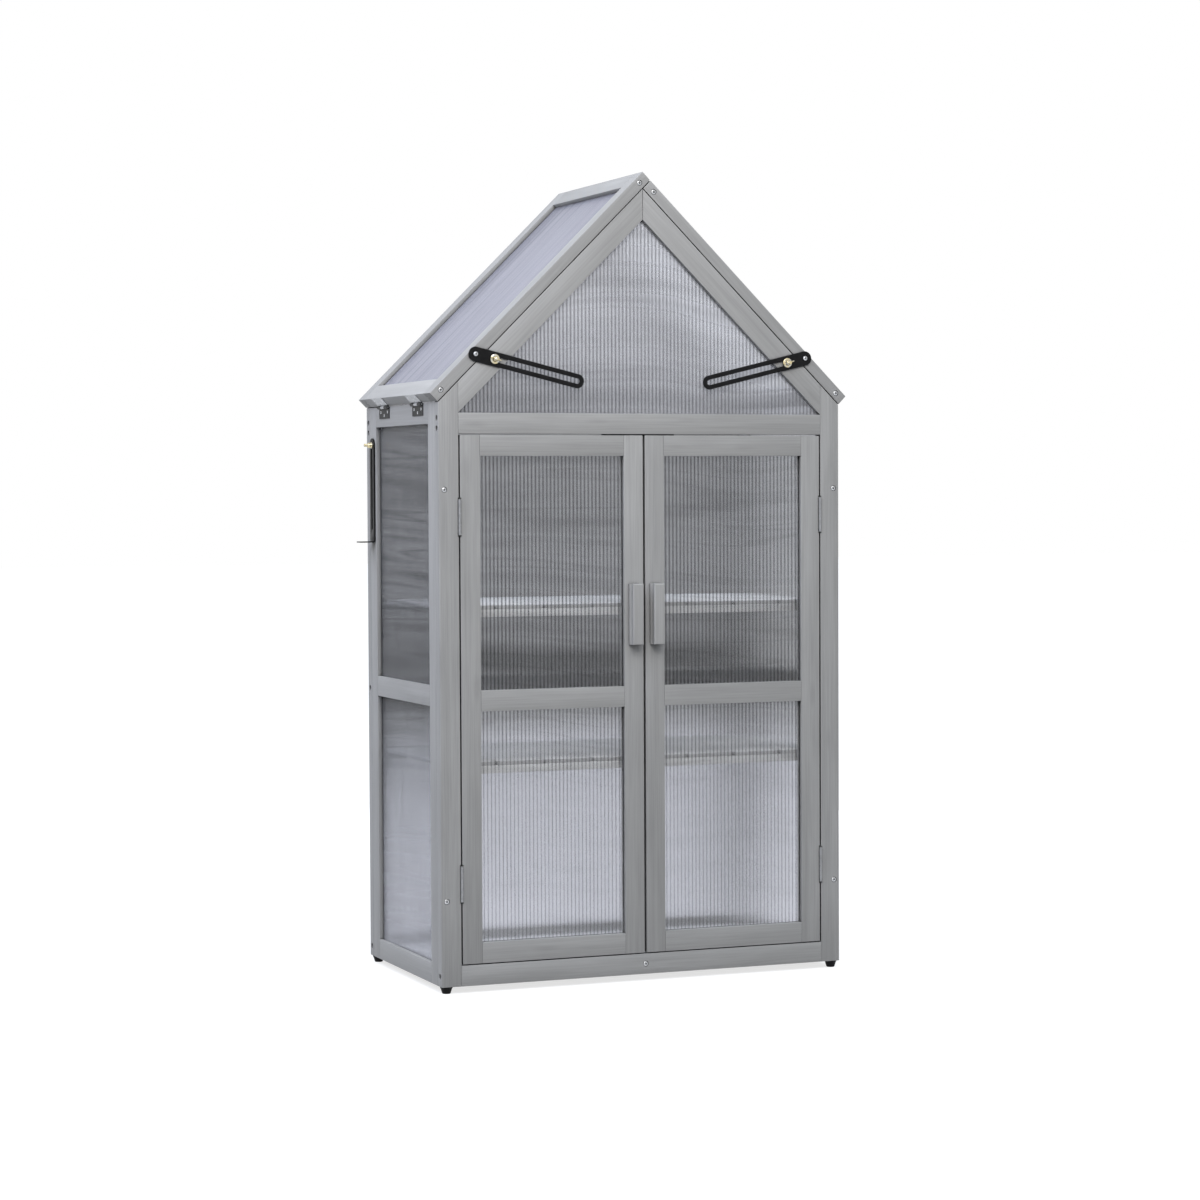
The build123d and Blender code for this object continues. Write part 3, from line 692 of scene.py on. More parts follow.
def frame_screws():
    """Every frame screw as its timber node, its place on the surface and the way it faces."""
    screws = []
    front_low, front_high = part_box("front_posts")
    back_low, back_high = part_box("back_posts")
    sill_low, sill_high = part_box("front_rails")
    mid_z = middle("back_panes").z
    side_x = -middle("left_side_stiles").x
    sill_z = sill_low.z + RAIL_HALF
    head_z = sill_high.z - RAIL_HALF
    ends = [sill_z, head_z - RAIL_SCREW_SPREAD, head_z + RAIL_SCREW_SPREAD]
    for _, sign in SIDES:
        for z in POST_SCREW_HEIGHTS:
            screws.append(("front_posts", Vector((sign * side_x, front_low.y, z)), FRONT))
            screws.append(("back_posts", Vector((sign * side_x, back_high.y, z)), -FRONT))
        outwards = Vector((sign, 0, 0))
        for node, low, high, heights in (
            ("front_posts", front_low, front_high, ends),
            ("back_posts", back_low, back_high, ends + [mid_z]),
        ):
            for z in heights:
                point = Vector((sign * high.x, (low.y + high.y) / 2, z))
                screws.append((node, point, outwards))
    screws.append(("front_rails", Vector((0, sill_low.y, sill_z)), FRONT))
    for side, _ in SIDES:
        screws += rafter_screws(f"{side}_roof_rafters", front_high.y)
    return screws


def rafter_screws(node, front_depth):
    """The screws at both ends of the rafters of a roof panel, at the front and at the back."""
    screws = []
    bm = node_mesh(node)
    for group in islands(bm):
        along = longest_way(group)
        centre = centre_of(group)
        low, high = reach(group, along)
        near, far = reach(group, -FRONT)
        at_front = near < front_depth
        for place in (low + RAFTER_SCREW_INSET, high - RAFTER_SCREW_INSET):
            point = centre + along * (place - centre.dot(along))
            point.y = near if at_front else far
            screws.append((node, point, FRONT if at_front else -FRONT))
    bm.free()
    return screws


def extra_sink(normal, iron):
    """How much deeper a frame screw sits in the side of a post."""
    return iron.side_sunk if abs(normal.x) > SQUARE_ON else 0.0


def leaf_screws(node):
    """The screws of a node of roof hinge leaves: their places on the outer faces, and the way they face."""
    screws = []
    bm = node_mesh(node)
    along = -FRONT
    for group in islands(bm):
        outwards = Vector((1 if group[0].co.x > 0 else -1, 0, LEAF_DOWN))
        faces = [face for face in faces_of(group) if face.normal.dot(outwards) > LEAF_FACING]
        face = max(faces, key=lambda face: face.calc_area())
        across = along.cross(face.normal)
        centre = face.calc_center_bounds()
        for place, offset in LEAF_SCREWS:
            screws.append((centre + along * place + across * offset, face.normal.copy()))
    bm.free()
    return screws


# Settings


def colour_property(name, description, default):
    """A setting for a colour."""
    return FloatVectorProperty(
        name=name, description=description, subtype="COLOR", default=default, min=0.0, max=1.0
    )


def share_property(name, description, default):
    """A setting from 0 to 1."""
    return FloatProperty(
        name=name, description=description, subtype="FACTOR", default=default, min=0.0, max=1.0
    )


def length_property(name, description, default):
    """A setting for a length."""
    return FloatProperty(name=name, description=description, unit="LENGTH", default=default)


def angle_property(name, description, degrees):
    """A setting for an angle."""
    return FloatProperty(name=name, description=description, subtype="ANGLE", default=radians(degrees))


def power_property(name, description, watts):
    """A setting for the power of a lamp."""
    return FloatProperty(name=name, description=description, unit="POWER", default=watts)


def place_property(name, description, default):
    """A setting for a place."""
    return FloatVectorProperty(
        name=name, description=description, subtype="TRANSLATION", unit="LENGTH", default=default
    )


class TimberSettings(bpy.types.PropertyGroup):
    """Stains, grain and edges of the timber"""

    stain: colour_property("Frame stain", "Colour of the stained frames", (0.385, 0.383, 0.381))
    # Painted light: the shelf slats, bearers and cleats get pale stains that stand for the bright light on
    # them
    painted_light_shelf_stain: colour_property("Shelf stain", "Colour of the slats", (0.82, 0.82, 0.83))
    painted_light_bearer_stain: colour_property(
        "Bearer stain", "Colour of the bearers and cleats under the shelves", (0.78, 0.78, 0.785)
    )
    edge_round: length_property("Edge rounding", "How far the edges of the boards are rounded", 0.9 * MM)
    shortest_edge: length_property("Shortest rounded edge", "Edges shorter than this stay sharp", 12 * MM)
    streak: share_property("Streaks", "How strongly the grain shows", 0.055)
    board_variation: share_property("Board variation", "How much the boards differ in tone", 0.07)
    knots: share_property("Knots", "How dark the knots are", 0.3)
    end_grain: share_property("End grain", "How much darker the ends of the boards are", 0.5)
    # Painted shade: how far the darkening of the joints and crevices reaches
    joint_reach: length_property("Joint shade", "How far dirt spreads from the joints", 7 * MM)
    roughness: share_property("Roughness", "Roughness of the stained timber", 0.55)


class SheetSettings(bpy.types.PropertyGroup):
    """Flutes, tints and clearness of the twin-wall sheets"""

    flute: length_property("Flute", "Distance from one web of a sheet to the next", 7 * MM)
    skin: length_property("Skin", "Thickness of a sheet's skins", 0.35 * MM)
    web: length_property("Web", "Thickness of the webs", 0.9 * MM)
    sink: length_property("Sink", "How far the skins sink at the webs", 0.15 * MM)
    # Painted light, shade and reflection: each group of sheets gets its own tints by height, which stand
    # for how bright it looks where it stands
    door_tint: colour_property("Door tint", "Milky colour of the door sheets", (0.32, 0.32, 0.325))
    side_tint: colour_property(
        "Left side tint", "Milky colour of the left-hand sheets", (0.5, 0.5, 0.505)
    )
    side_low_tint: colour_property(
        "Low near tint", "Milky colour of the left-hand and door sheets, low down", (0.82, 0.82, 0.86)
    )
    gable_tint: colour_property(
        "Front gable tint", "Milky colour of the front gable's sheet", (0.93, 0.93, 0.98)
    )
    back_gable_tint: colour_property(
        "Back gable tint", "Milky colour of the back gable's sheet", (0.7, 0.7, 0.72)
    )
    far_tint: colour_property(
        "High back tint", "Milky colour of the back sheets, high up", (0.36, 0.36, 0.365)
    )
    # Painted shade: a dark band above the back's middle rail
    band_tint: colour_property(
        "Back band tint", "Colour of the dark band above the back's middle rail", (0.15, 0.15, 0.15)
    )
    mid_tint: colour_property(
        "Middle back tint", "Milky colour of the back sheets at the middle rail", (0.48, 0.48, 0.485)
    )
    low_tint: colour_property(
        "Low far tint", "Milky colour of the far sheets, low down", (0.74, 0.74, 0.79)
    )
    far_side_tint: colour_property(
        "Right side tint", "Milky colour of the right-hand sheets, high up", (0.6, 0.6, 0.605)
    )
    roof_tint: colour_property(
        "Left roof tint", "Milky colour of the left roof's sheet", (0.49, 0.49, 0.57)
    )
    far_roof_tint: colour_property(
        "Right roof tint", "Milky colour of the right roof's sheet", (0.93, 0.95, 1.0)
    )
    door_cover: share_property(
        "Cover of the doors", "How much of one skin of a door's sheet is milky", 0.13
    )
    side_cover: share_property(
        "Cover of the left side", "How much of one skin of a left-hand sheet is milky", 0.3
    )
    gable_cover: share_property(
        "Cover of the front gable", "How much of one skin of the front gable's sheet is milky", 0.26
    )
    roof_cover: share_property(
        "Cover of the left roof", "How much of one skin of the left roof's sheet is milky", 0.8
    )
    far_roof_cover: share_property(
        "Cover of the right roof", "How much of one skin of the right roof's sheet is milky", 0.35
    )
    far_cover: share_property(
        "Cover of the far sheets", "How much of one skin of a far sheet is milky", 0.92
    )
    clear_glow: share_property(
        "Glow of the near sheets", "How much of the light on a near sheet's milky part comes through", 0.4
    )
    far_glow: share_property(
        "Glow of the far sheets", "How much of the light on a far sheet's milky part comes through", 0.65
    )
    roof_glow: share_property(
        "Glow of the left roof", "How much of the light on the left roof's milky part comes through", 0.35
    )
    web_tint: colour_property(
        "Web tint", "Colour that a web gives to what lies behind it", (0.84, 0.84, 0.85)
    )


class IronmongerySettings(bpy.types.PropertyGroup):
    """Sizes and colours of the screws, stays, brackets and hinges"""

    screw_radius: length_property("Screw head", "Radius of the frame screws' heads", 4.1 * MM)
    seat_radius: length_property(
        "Screw seat", "Radius of the round seats that the frame screws are sunk in", 4.9 * MM
    )
    seat_depth: length_property("Seat depth", "Depth of the screw seats", 1.6 * MM)
    screw_sunk: length_property("Screw sunk", "How far the rim of a head lies below the timber", 0.7 * MM)
    side_sunk: length_property(
        "Side screw sink", "How much deeper the screws in the sides of the posts sit", 2.6 * MM
    )
    leaf_screw_radius: length_property("Hinge screw", "Radius of the roof hinges' screw heads", 2.7 * MM)
    stay_flange: length_property("Stay nut flange", "Radius of the flange of a stay's wing nut", 8.4 * MM)
    bracket_flange: length_property(
        "Bracket nut flange", "Radius of the flange of a bracket's wing nut", 6 * MM
    )
    pivot_radius: length_property(
        "Pivot screw radius", "Radius of the head of a stay's pivot screw", 4.2 * MM
    )
    plate_round: length_property(
        "Plate edge", "How far the edges of the pressed strips are rounded", 0.3 * MM
    )
    thread_pitch: length_property("Thread pitch", "Pitch of the clamp bolts' threads", 1 * MM)
    thread_depth: length_property("Thread depth", "Depth of the clamp bolts' threads", 0.5 * MM)
    # Also used for the painted shade in the screw recesses
    black: colour_property(
        "Black", "Colour of the painted strips and dark plastic", (0.006, 0.006, 0.0065)
    )
    zinc: colour_property("Zinc", "Colour of the bright zinc plate", (0.56, 0.57, 0.59))
    yellow_zinc: colour_property("Yellow zinc", "Colour of the yellow zinc plate", (0.62, 0.53, 0.30))
    # Painted shade: the wall leaves are zinc like the roof leaves, painted near black for the shade and
    # dark reflection on them
    dark_plate: colour_property(
        "Dark plate", "Colour of the roof hinges' wall leaves", (0.02, 0.02, 0.02)
    )


class StageSettings(bpy.types.PropertyGroup):
    """Camera, floor and light"""

    camera_place: place_property("Camera place", "Where the camera stands", (-2.0239, -5.0331, 0.8619))
    camera_turn: angle_property(
        "Camera turn", "How far the camera looks to the right of straight on", 21.84
    )
    camera_dip: angle_property("Camera dip", "How far the camera looks down", 2.06)
    camera_roll: angle_property("Camera roll", "How far the camera leans", -0.27)
    lens: FloatProperty(
        name="Lens", description="Focal length of the camera in millimetres", unit="CAMERA", default=89.55
    )
    floor_size: length_property("Floor size", "Width of the floor", 60.0)
    floor_colour: colour_property(
        "Floor colour", "Colour of the floor in the light that it throws back", (0.12, 0.12, 0.12)
    )
    sky_colour: colour_property("Sky light", "Colour of the soft light from above", (0.82, 0.90, 1.0))
    edge_colour: colour_property(
        "Level light", "Colour of the soft light from the sides", (0.42, 0.415, 0.41)
    )
    sky_strength: FloatProperty(
        name="Sky strength", description="Strength of the light from straight above", default=1.6
    )
    key_power: power_property("Key lamp power", "Power of the key lamp in watts", 48.0)
    key_colour: colour_property("Key lamp colour", "Colour of the key lamp", (1.0, 0.975, 0.94))
    key_size: length_property("Key lamp size", "Width of the key lamp", 1.8)
    key_place: place_property("Key lamp place", "Where the key lamp hangs", (-0.7, -2.4, 2.6))
    side_power: power_property("Side lamp power", "Power of the side lamp in watts", 43.0)
    side_colour: colour_property("Side lamp colour", "Colour of the side lamp", (0.80, 0.84, 1.0))
    side_size: length_property("Side lamp size", "Width of the side lamp", 2.2)
    side_place: place_property("Side lamp place", "Where the side lamp hangs", (-2.4, -0.3, 2.5))
    back_power: power_property("Back lamp power", "Power of the back lamp in watts", 30.0)
    back_colour: colour_property("Back lamp colour", "Colour of the back lamp", (0.90, 0.94, 1.0))
    back_size: length_property("Back lamp size", "Width of the back lamp", 1.8)
    back_place: place_property("Back lamp place", "Where the back lamp hangs", (1.3, 2.4, 0.4))


# Timber


def dress_boards(node, slot, material, timber, seats=(), seat_radius=0.0):
    """Put rounded, grained boards in the place of a timber node, with seats for their screws."""
    bm = node_mesh(node)
    if node not in MOULDED_TIMBER:
        round_edges(bm, timber.edge_round, timber.shortest_edge)
    if seats:
        bm = cut_seats(bm, seats, seat_radius)
    lay_grain(bm, node, timber.edge_round)
    put_piece(f"{node}_stained", bm, BODY_OF[node], slot, [material], node)


class GREENHOUSE_OT_frames(bpy.types.Operator):
    """Dress the stained frames: posts, rails, stiles, rafters and handles, with their screw seats"""

    bl_idname = "greenhouse.frames"
    bl_label = "Stained Frames"

    def execute(self, context):
        timber = context.scene.greenhouse_timber
        iron = context.scene.greenhouse_ironmongery
        stained = timber_finish("stained_timber", timber.stain, timber)
        seats = defaultdict(list)
        for node, point, normal in frame_screws():
            seats[node].append((point, normal, iron.seat_depth + extra_sink(normal, iron)))
        for node in slot_nodes("grey_timber"):
            dress_boards(node, "grey_timber", stained, timber, seats[node], iron.seat_radius)
        return {"FINISHED"}


class GREENHOUSE_OT_shelves(bpy.types.Operator):
    """Dress the slatted shelves and floor, their bearers and their cleats"""

    bl_idname = "greenhouse.shelves"
    bl_label = "Shelves and Floor"

    def execute(self, context):
        timber = context.scene.greenhouse_timber
        # Painted light: pale stains stand for the bright light on the shelves and floor
        pale = timber_finish("pale_timber", timber.painted_light_shelf_stain, timber)
        bearer = timber_finish("bearer_timber", timber.painted_light_bearer_stain, timber)
        for node in slot_nodes("shelf_timber"):
            dress_boards(node, "shelf_timber", pale if node.endswith("slats") else bearer, timber)
        return {"FINISHED"}


# Sheets


class Sheet:
    """Where a flat sheet lies: its directions, its outline and its two faces."""

    def __init__(self, group):
        widest = max(faces_of(group), key=lambda face: face.calc_area())
        self.normal = widest.normal.copy()
        self.up = (UP - self.normal * self.normal.z).normalized()
        self.across = self.up.cross(self.normal)
        flat = [Vector((vert.co.dot(self.across), vert.co.dot(self.up))) for vert in group]
        self.outline = [flat[i] for i in convex_hull_2d(flat)]
        self.back, self.front = reach(group, self.normal)
        self.left = min(point.x for point in flat)
        self.width = max(point.x for point in flat) - self.left

    def span(self, x):
        """The lowest and highest place of the outline on an upright line."""
        places = []
        for first, second in zip(self.outline, self.outline[1:] + self.outline[:1]):
            width = second.x - first.x
            if not min(first.x, second.x) - WELD <= x <= max(first.x, second.x) + WELD:
                continue
            if abs(width) > WELD:
                places.append(first.y + (x - first.x) / width * (second.y - first.y))
            else:
                places += [first.y, second.y]
        return min(places), max(places)

    def cut(self, bm, x, inset, depth):
        """The corners of an upright cut through the sheet, drawn in from its edges and its faces."""
        low, high = self.span(x)
        low, high = low + inset, high - inset
        front, back = self.front - depth, self.back + depth
        corners = ((low, front), (high, front), (high, back), (low, back))
        return [bm.verts.new(self.across * x + self.up * y + self.normal * z) for y, z in corners]


def join_cuts(bm, cuts):
    """Join upright cuts into a closed solid, and give back its ends and the rows of faces between."""
    ends = [bm.faces.new(cuts[0]), bm.faces.new(cuts[-1][::-1])]
    rows = []
    for one, two in zip(cuts, cuts[1:]):
        rows.append([bm.faces.new((one[i], one[i - 1], two[i - 1], two[i])) for i in range(len(one))])
    return ends, rows


def build_sheet(bm, group, settings):
    """Add one twin-wall sheet in the place of a plain one: fluted skins, and webs between them."""
    sheet = Sheet(group)
    flute_mark = bm.faces.layers.float["flute"]
    flutes = round(sheet.width / settings.flute)
    steps = FLUTE_STEPS * flutes
    cuts = []
    for step in range(steps + 1):
        sink = settings.sink if step % FLUTE_STEPS == 0 else 0.0
        cuts.append(sheet.cut(bm, sheet.left + sheet.width * step / steps, 0.0, sink))
    _, rows = join_cuts(bm, cuts)
    # Mark the quarters beside each web, where the skin's finish paints shade
    for step, row in enumerate(rows):
        for face in row:
            face[flute_mark] = 1.0 if step % FLUTE_STEPS in (0, FLUTE_STEPS - 1) else 0.0
    inside = settings.skin + settings.sink
    for flute in range(1, flutes):
        x = sheet.left + sheet.width * flute / flutes
        sides = (x - settings.web / 2, x + settings.web / 2)
        ends, rows = join_cuts(bm, [sheet.cut(bm, side, settings.skin, inside) for side in sides])
        for face in ends + rows[0]:
            face.material_index = 1


def held(tint, *heights):
    """Stops that give a tint at one or more heights."""
    return tuple((height, tint) for height in heights)


def sheet_looks(sheets):
    """How each group of sheets looks. The stops are heights and tints, which paint light, shade and
    reflection onto each sheet.
    """
    low, high = sheets.low_tint, sheets.far_tint
    # Painted light and shade on the back sheets: lighter low down, a dark band above the middle rail and a
    # darker line near the top
    back = held(low, 0.38) + held(sheets.mid_tint, 0.44, 0.505) + held(sheets.band_tint, 0.525, 0.55)
    back += held(high, 0.58, 0.8) + held(shade(high, 0.75), 0.812, 0.822) + held(high, 0.835)
    # Painted light on the front gable: darker low down and lighter high up, and with its lean lighter to
    # the right
    gable = sheets.gable_tint
    gable_stops = held(shade(gable, 0.42), 0.88) + held(shade(gable, 0.9), 1.16) + held(gable, 1.2, 1.3)
    back_gable = sheets.back_gable_tint
    far = {"cover": sheets.far_cover, "glow": sheets.far_glow, "bands": 0.4, "stripe": 0.2}
    return {
        "door": {
            "stops": held(sheets.side_low_tint, 0.07) + held(sheets.door_tint, 0.16),
            "cover": sheets.door_cover,
            "glow": sheets.clear_glow,
            "bands": 0.4,
            "stripe": 0.28,
            "blur": 0.6,
        },
        "left_side": {
            "stops": held(sheets.side_low_tint, 0.22) + held(sheets.side_tint, 0.46),
            "cover": sheets.side_cover,
            "glow": sheets.clear_glow,
            "bands": 1.0,
            "stripe": 0.5,
            "blur": 0.15,
        },
        "front_gable": {
            "stops": gable_stops,
            "cover": sheets.gable_cover,
            "glow": sheets.clear_glow,
            "bands": 0.4,
            "stripe": 0.3,
            "blur": 0.6,
            "lean": 0.55,
        },
        "back_gable": {"stops": held(shade(back_gable, 0.5), 1.0) + held(back_gable, 1.25), **far},
        "back_panes": {"stops": back, **far},
        "right_side": {"stops": held(shade(low, 1.25), 0.38) + held(sheets.far_side_tint, 0.5), **far},
        "left_roof": {
            "stops": held(sheets.roof_tint, 0.0),
            "cover": sheets.roof_cover,
            "glow": sheets.roof_glow,
            "bands": 0.5,
            "stripe": 0.3,
            "lay": DOWN_SLOPE,
        },
        "right_roof": {
            "stops": held(sheets.far_roof_tint, 0.0),
            "cover": sheets.far_roof_cover,
            "glow": sheets.far_glow,
            "bands": 0.3,
            "stripe": 0.2,
            "lay": DOWN_SLOPE,
        },
    }


class GREENHOUSE_OT_sheets(bpy.types.Operator):
    """Build the twin-wall sheets with their flutes"""

    bl_idname = "greenhouse.sheets"
    bl_label = "Twin-wall Sheets"

    def execute(self, context):
        sheets = context.scene.greenhouse_sheets
        skins = {part: sheet_finish(f"{part}_sheet", **look) for part, look in sheet_looks(sheets).items()}
        web = web_finish("sheet_web", sheets.web_tint)
        for node in slot_nodes("twin_wall_sheet"):
            plain = node_mesh(node)
            bm = bmesh.new()
            bm.faces.layers.float.new("flute")
            for group in islands(plain):
                build_sheet(bm, group, sheets)
            plain.free()
            bmesh.ops.recalc_face_normals(bm, faces=bm.faces)
            part = next((part for part in skins if node.startswith(part)), "door")
            put_piece(f"{node}_fluted", bm, BODY_OF[node], "twin_wall_sheet", [skins[part], web], node)
        return {"FINISHED"}


# Ironmongery


class GREENHOUSE_OT_screws(bpy.types.Operator):
    """Add the sunk frame screws and the small screws of the roof hinges"""

    bl_idname = "greenhouse.screws"
    bl_label = "Screws"

    def execute(self, context):
        iron = context.scene.greenhouse_ironmongery
        zinc = plated_finish("zinc_plate", iron.zinc, shade(iron.zinc, 0.8), roughness=0.3)
        # Painted shade: the cross recesses of the screws take a near-black finish
        recess = painted_finish("screw_recess", iron.black, roughness=0.5, peel=0.1)
        draw = random.Random("screws")
        heads = defaultdict(bmesh.new)
        for node, point, normal in frame_screws():
            place = facing(point, normal, draw.uniform(0, pi))
            screw_head(heads[node], place, iron.screw_radius, iron.screw_sunk + extra_sink(normal, iron))
        for node in ("roof_hinge_wall_leaves", "left_roof_hinge_leaves", "right_roof_hinge_leaves"):
            for point, normal in leaf_screws(node):
                place = facing(point, normal, draw.uniform(0, pi))
                screw_head(heads[node], place, iron.leaf_screw_radius, 0.0)
        for node, bm in heads.items():
            put_piece(f"{node}_screws", bm, BODY_OF[node], "zinc_steel", [zinc, recess])
        return {"FINISHED"}


class GREENHOUSE_OT_hinges(bpy.types.Operator):
    """Give the hinges and their pins their finish"""

    bl_idname = "greenhouse.hinges"
    bl_label = "Hinges"

    def execute(self, context):
        iron = context.scene.greenhouse_ironmongery
        zinc = iron.zinc
        dull = plated_finish("dull_zinc", shade(zinc, 0.5), shade(zinc, 0.42), roughness=0.55)
        leaf = plated_finish("leaf_zinc", shade(zinc, 0.72), shade(zinc, 0.6), roughness=0.5)
        # Painted shade: near-black paint on the zinc wall leaves
        dark = painted_finish("dark_plate", iron.dark_plate, roughness=0.45, peel=0.1)
        paint_node("door_hinge_post_leaves", dull)
        paint_node("hinge_pins", dull)
        paint_node("roof_hinge_wall_leaves", dark)
        for side, _ in SIDES:
            paint_node(f"{side}_door_hinge_leaves", dull)
            paint_node(f"{side}_roof_hinge_leaves", leaf)
        return {"FINISHED"}


def wing_outline():
    """One wing of a wing nut in millimetres, seen from the side."""
    tip_x, tip_z = WING_TIP
    turns = [radians(degrees) for degrees in WING_TIP_ANGLES]
    tip = [(tip_x + WING_TIP_RADIUS * cos(turn), tip_z + WING_TIP_RADIUS * sin(turn)) for turn in turns]
    return [*WING_OUT, *tip, *WING_BACK]


def wing_nut(bm, place, flange):
    """A wing nut on its seat: a flanged hub with a bore, and two wings."""
    rim = flange / MM
    step_in, step_height = NUT_FLANGE_TOP
    hub = [(rim + out, height) for out, height in NUT_FLANGE]
    hub += [(max(NUT_NARROWEST, rim + step_in), step_height), *NUT_HUB]
    loft(bm, [circle(radius * MM, height * MM) for radius, height in hub], place, closed=True)
    outline = wing_outline()
    centre_x = sum(x for x, _ in outline) / len(outline)
    centre_z = sum(z for _, z in outline) / len(outline)
    rings = []
    for y, share in WING_LAYERS:
        wide = [(centre_x + (x - centre_x) * share, centre_z + (z - centre_z) * share) for x, z in outline]
        rings.append([(x * MM, -y * MM, z * MM) for x, z in wide])
    for turn in (0, pi):
        loft(bm, rings, place @ Matrix.Rotation(turn, 4, "Z"))


def threaded_bolt(bm, place, radius, tall, iron):
    """A bolt with a screw thread along its whole length and a rounded end."""
    rows = round(tall / iron.thread_pitch * THREAD_STEPS)
    rings = [circle(radius - iron.thread_depth, 0.0)]
    for row in range(1, rows):
        end = max(0.0, row - (rows - THREAD_STEPS)) / THREAD_STEPS
        ring = []
        for i in range(ROUND):
            turn = (row / THREAD_STEPS + i / ROUND) % 1.0
            groove = iron.thread_depth * abs(2 * turn - 1)
            size = radius - groove * (1 - end) - end * iron.thread_depth
            ring.append((size * cos(tau * i / ROUND), size * sin(tau * i / ROUND), tall * row / rows))
        rings.append(ring)
    rings.append(circle(radius - 2 * iron.thread_depth, tall))
    loft(bm, rings, place)


class GREENHOUSE_OT_stays(bpy.types.Operator):
    """Dress the roof stays and wall brackets with their bolts, wing nuts and pivot screws"""

    bl_idname = "greenhouse.stays"
    bl_label = "Stays and Brackets"

    def execute(self, context):
        iron = context.scene.greenhouse_ironmongery
        black = painted_finish("black_paint", iron.black, roughness=0.42, peel=0.12)
        tinge = shade(iron.zinc, 0.95)
        yellow = plated_finish("yellow_plate", iron.yellow_zinc, tinge, roughness=0.28)
        for side, sign in SIDES:
            for strip in (f"{side}_stay_arm", f"{side}_wall_bracket"):
                bm = node_mesh(strip)
                round_edges(bm, iron.plate_round, 0.0)
                put_piece(f"{strip}_painted", bm, BODY_OF[strip], "black_steel", [black], strip)
            clamps = (
                (f"{side}_stay", FRONT, iron.stay_flange, 0.0),
                (f"{side}_bracket", Vector((sign, 0, 0)), iron.bracket_flange, pi / 2),
            )
            for part, out, flange, turn in clamps:
                self.bolt(iron, yellow, f"{part}_bolt", out)
                self.nut(yellow, f"{part}_wing_nut", middle(f"{part}_bolt"), out, flange, turn)
            self.pivot(f"{side}_stay_pivot_screw", iron.pivot_radius)
        return {"FINISHED"}

    def bolt(self, iron, material, node, out):
        """Replace one clamp bolt by a threaded one."""
        low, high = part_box(node)
        size = high - low
        tall = abs(size.dot(out))
        bm = bmesh.new()
        threaded_bolt(bm, facing(middle(node) - out * tall / 2, out), min(size) / 2, tall, iron)
        put_piece(f"{node}_threaded", bm, BODY_OF[node], "yellow_zinc", [material], node)

    def nut(self, material, node, seat, out, flange, turn):
        """Replace one wing nut, turned from the way that its wings lie."""
        back = min(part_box(node), key=lambda corner: corner.dot(out))
        place = facing(seat + out * (back - seat).dot(out), out)
        wings = place.to_3x3().inverted() @ self.wing_way(node, out)
        place = place @ Matrix.Rotation(turn - Vector((1, 0)).angle_signed(wings.xy), 4, "Z")
        bm = bmesh.new()
        wing_nut(bm, place, flange)
        put_piece(f"{node}_turned", bm, BODY_OF[node], "yellow_zinc", [material], node)

    def wing_way(self, node, out):
        """The direction from one wing of a nut to the other."""
        centre = middle(node)
        offsets = [vert.co - centre for vert in NODES[node].data.vertices]
        flat = [offset - out * offset.dot(out) for offset in offsets]
        return max(flat, key=lambda offset: offset.length).normalized()

    def pivot(self, node, head):
        """Replace one pivot screw: a domed head and its shank."""
        low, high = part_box(node)
        centre = middle(node)
        tall = high.y - low.y
        rings = [
            circle(PIVOT_TIP_RADIUS, -tall),
            circle(PIVOT_SHANK_RADIUS, -tall + PIVOT_TIP_LENGTH),
            circle(PIVOT_SHANK_RADIUS, -PIVOT_HEAD_THICK),
        ]
        rings += screw_rings(head, PIVOT_HEAD_THICK, PIVOT_DOME, PIVOT_CROSS)
        bm = bmesh.new()
        top = Vector((centre.x, low.y, centre.z))
        loft(bm, rings, facing(top, FRONT, PIVOT_TURN), recess=len(rings) - 2)
        materials = [bpy.data.materials["zinc_plate"], bpy.data.materials["screw_recess"]]
        put_piece(f"{node}_domed", bm, BODY_OF[node], "zinc_steel", materials, node)


class GREENHOUSE_OT_fittings(bpy.types.Operator):
    """Dress the feet, the magnet catch and the strike plates"""

    bl_idname = "greenhouse.fittings"
    bl_label = "Feet and Catch"

    def execute(self, context):
        iron = context.scene.greenhouse_ironmongery
        rubber = painted_finish("foot_plastic", shade(iron.black, 0.9), roughness=0.55, peel=0.2)
        moulded = painted_finish("catch_moulding", shade(iron.black, 1.6), roughness=0.5, peel=0.15)
        paint_node("magnet_catch", moulded)
        for side, _ in SIDES:
            paint_node(f"{side}_door_strike_plate", bpy.data.materials["zinc_plate"])
        source = node_mesh("feet")
        bm = bmesh.new()
        for group in islands(source):
            self.foot(bm, group)
        source.free()
        put_piece("feet_moulded", bm, BODY_OF["feet"], "black_plastic", [rubber], "feet")
        return {"FINISHED"}

    def foot(self, bm, group):
        """Add one tapered foot with a collar in the place of a plain one."""
        low, high = reach(group, UP)
        tall = high - low
        centre = centre_of(group)
        radii = [(vert.co.xy - centre.xy).length for vert in group]
        sole, top = min(radii), max(radii)
        rings = [circle(sole + out * MM, height * MM) for out, height in FOOT_SOLE]
        rings.append(circle(sole + (top - sole) * FOOT_TAPER, tall - FOOT_WAIST))
        rings += [circle(top + out * MM, tall + height * MM) for out, height in FOOT_COLLAR]
        loft(bm, rings, Matrix.Translation((centre.x, centre.y, low)))


# Stage


def seen_rays(finish):
    """One for what the camera sees, straight on or in metal and clear sheets, and zero for light."""
    path = finish.add("LightPath", {}).outputs
    direct = finish.plus(path["Is Camera Ray"], path["Is Glossy Ray"])
    total = finish.plus(direct, path["Is Transmission Ray"])
    return finish.span(total, 0.0, 1.0)


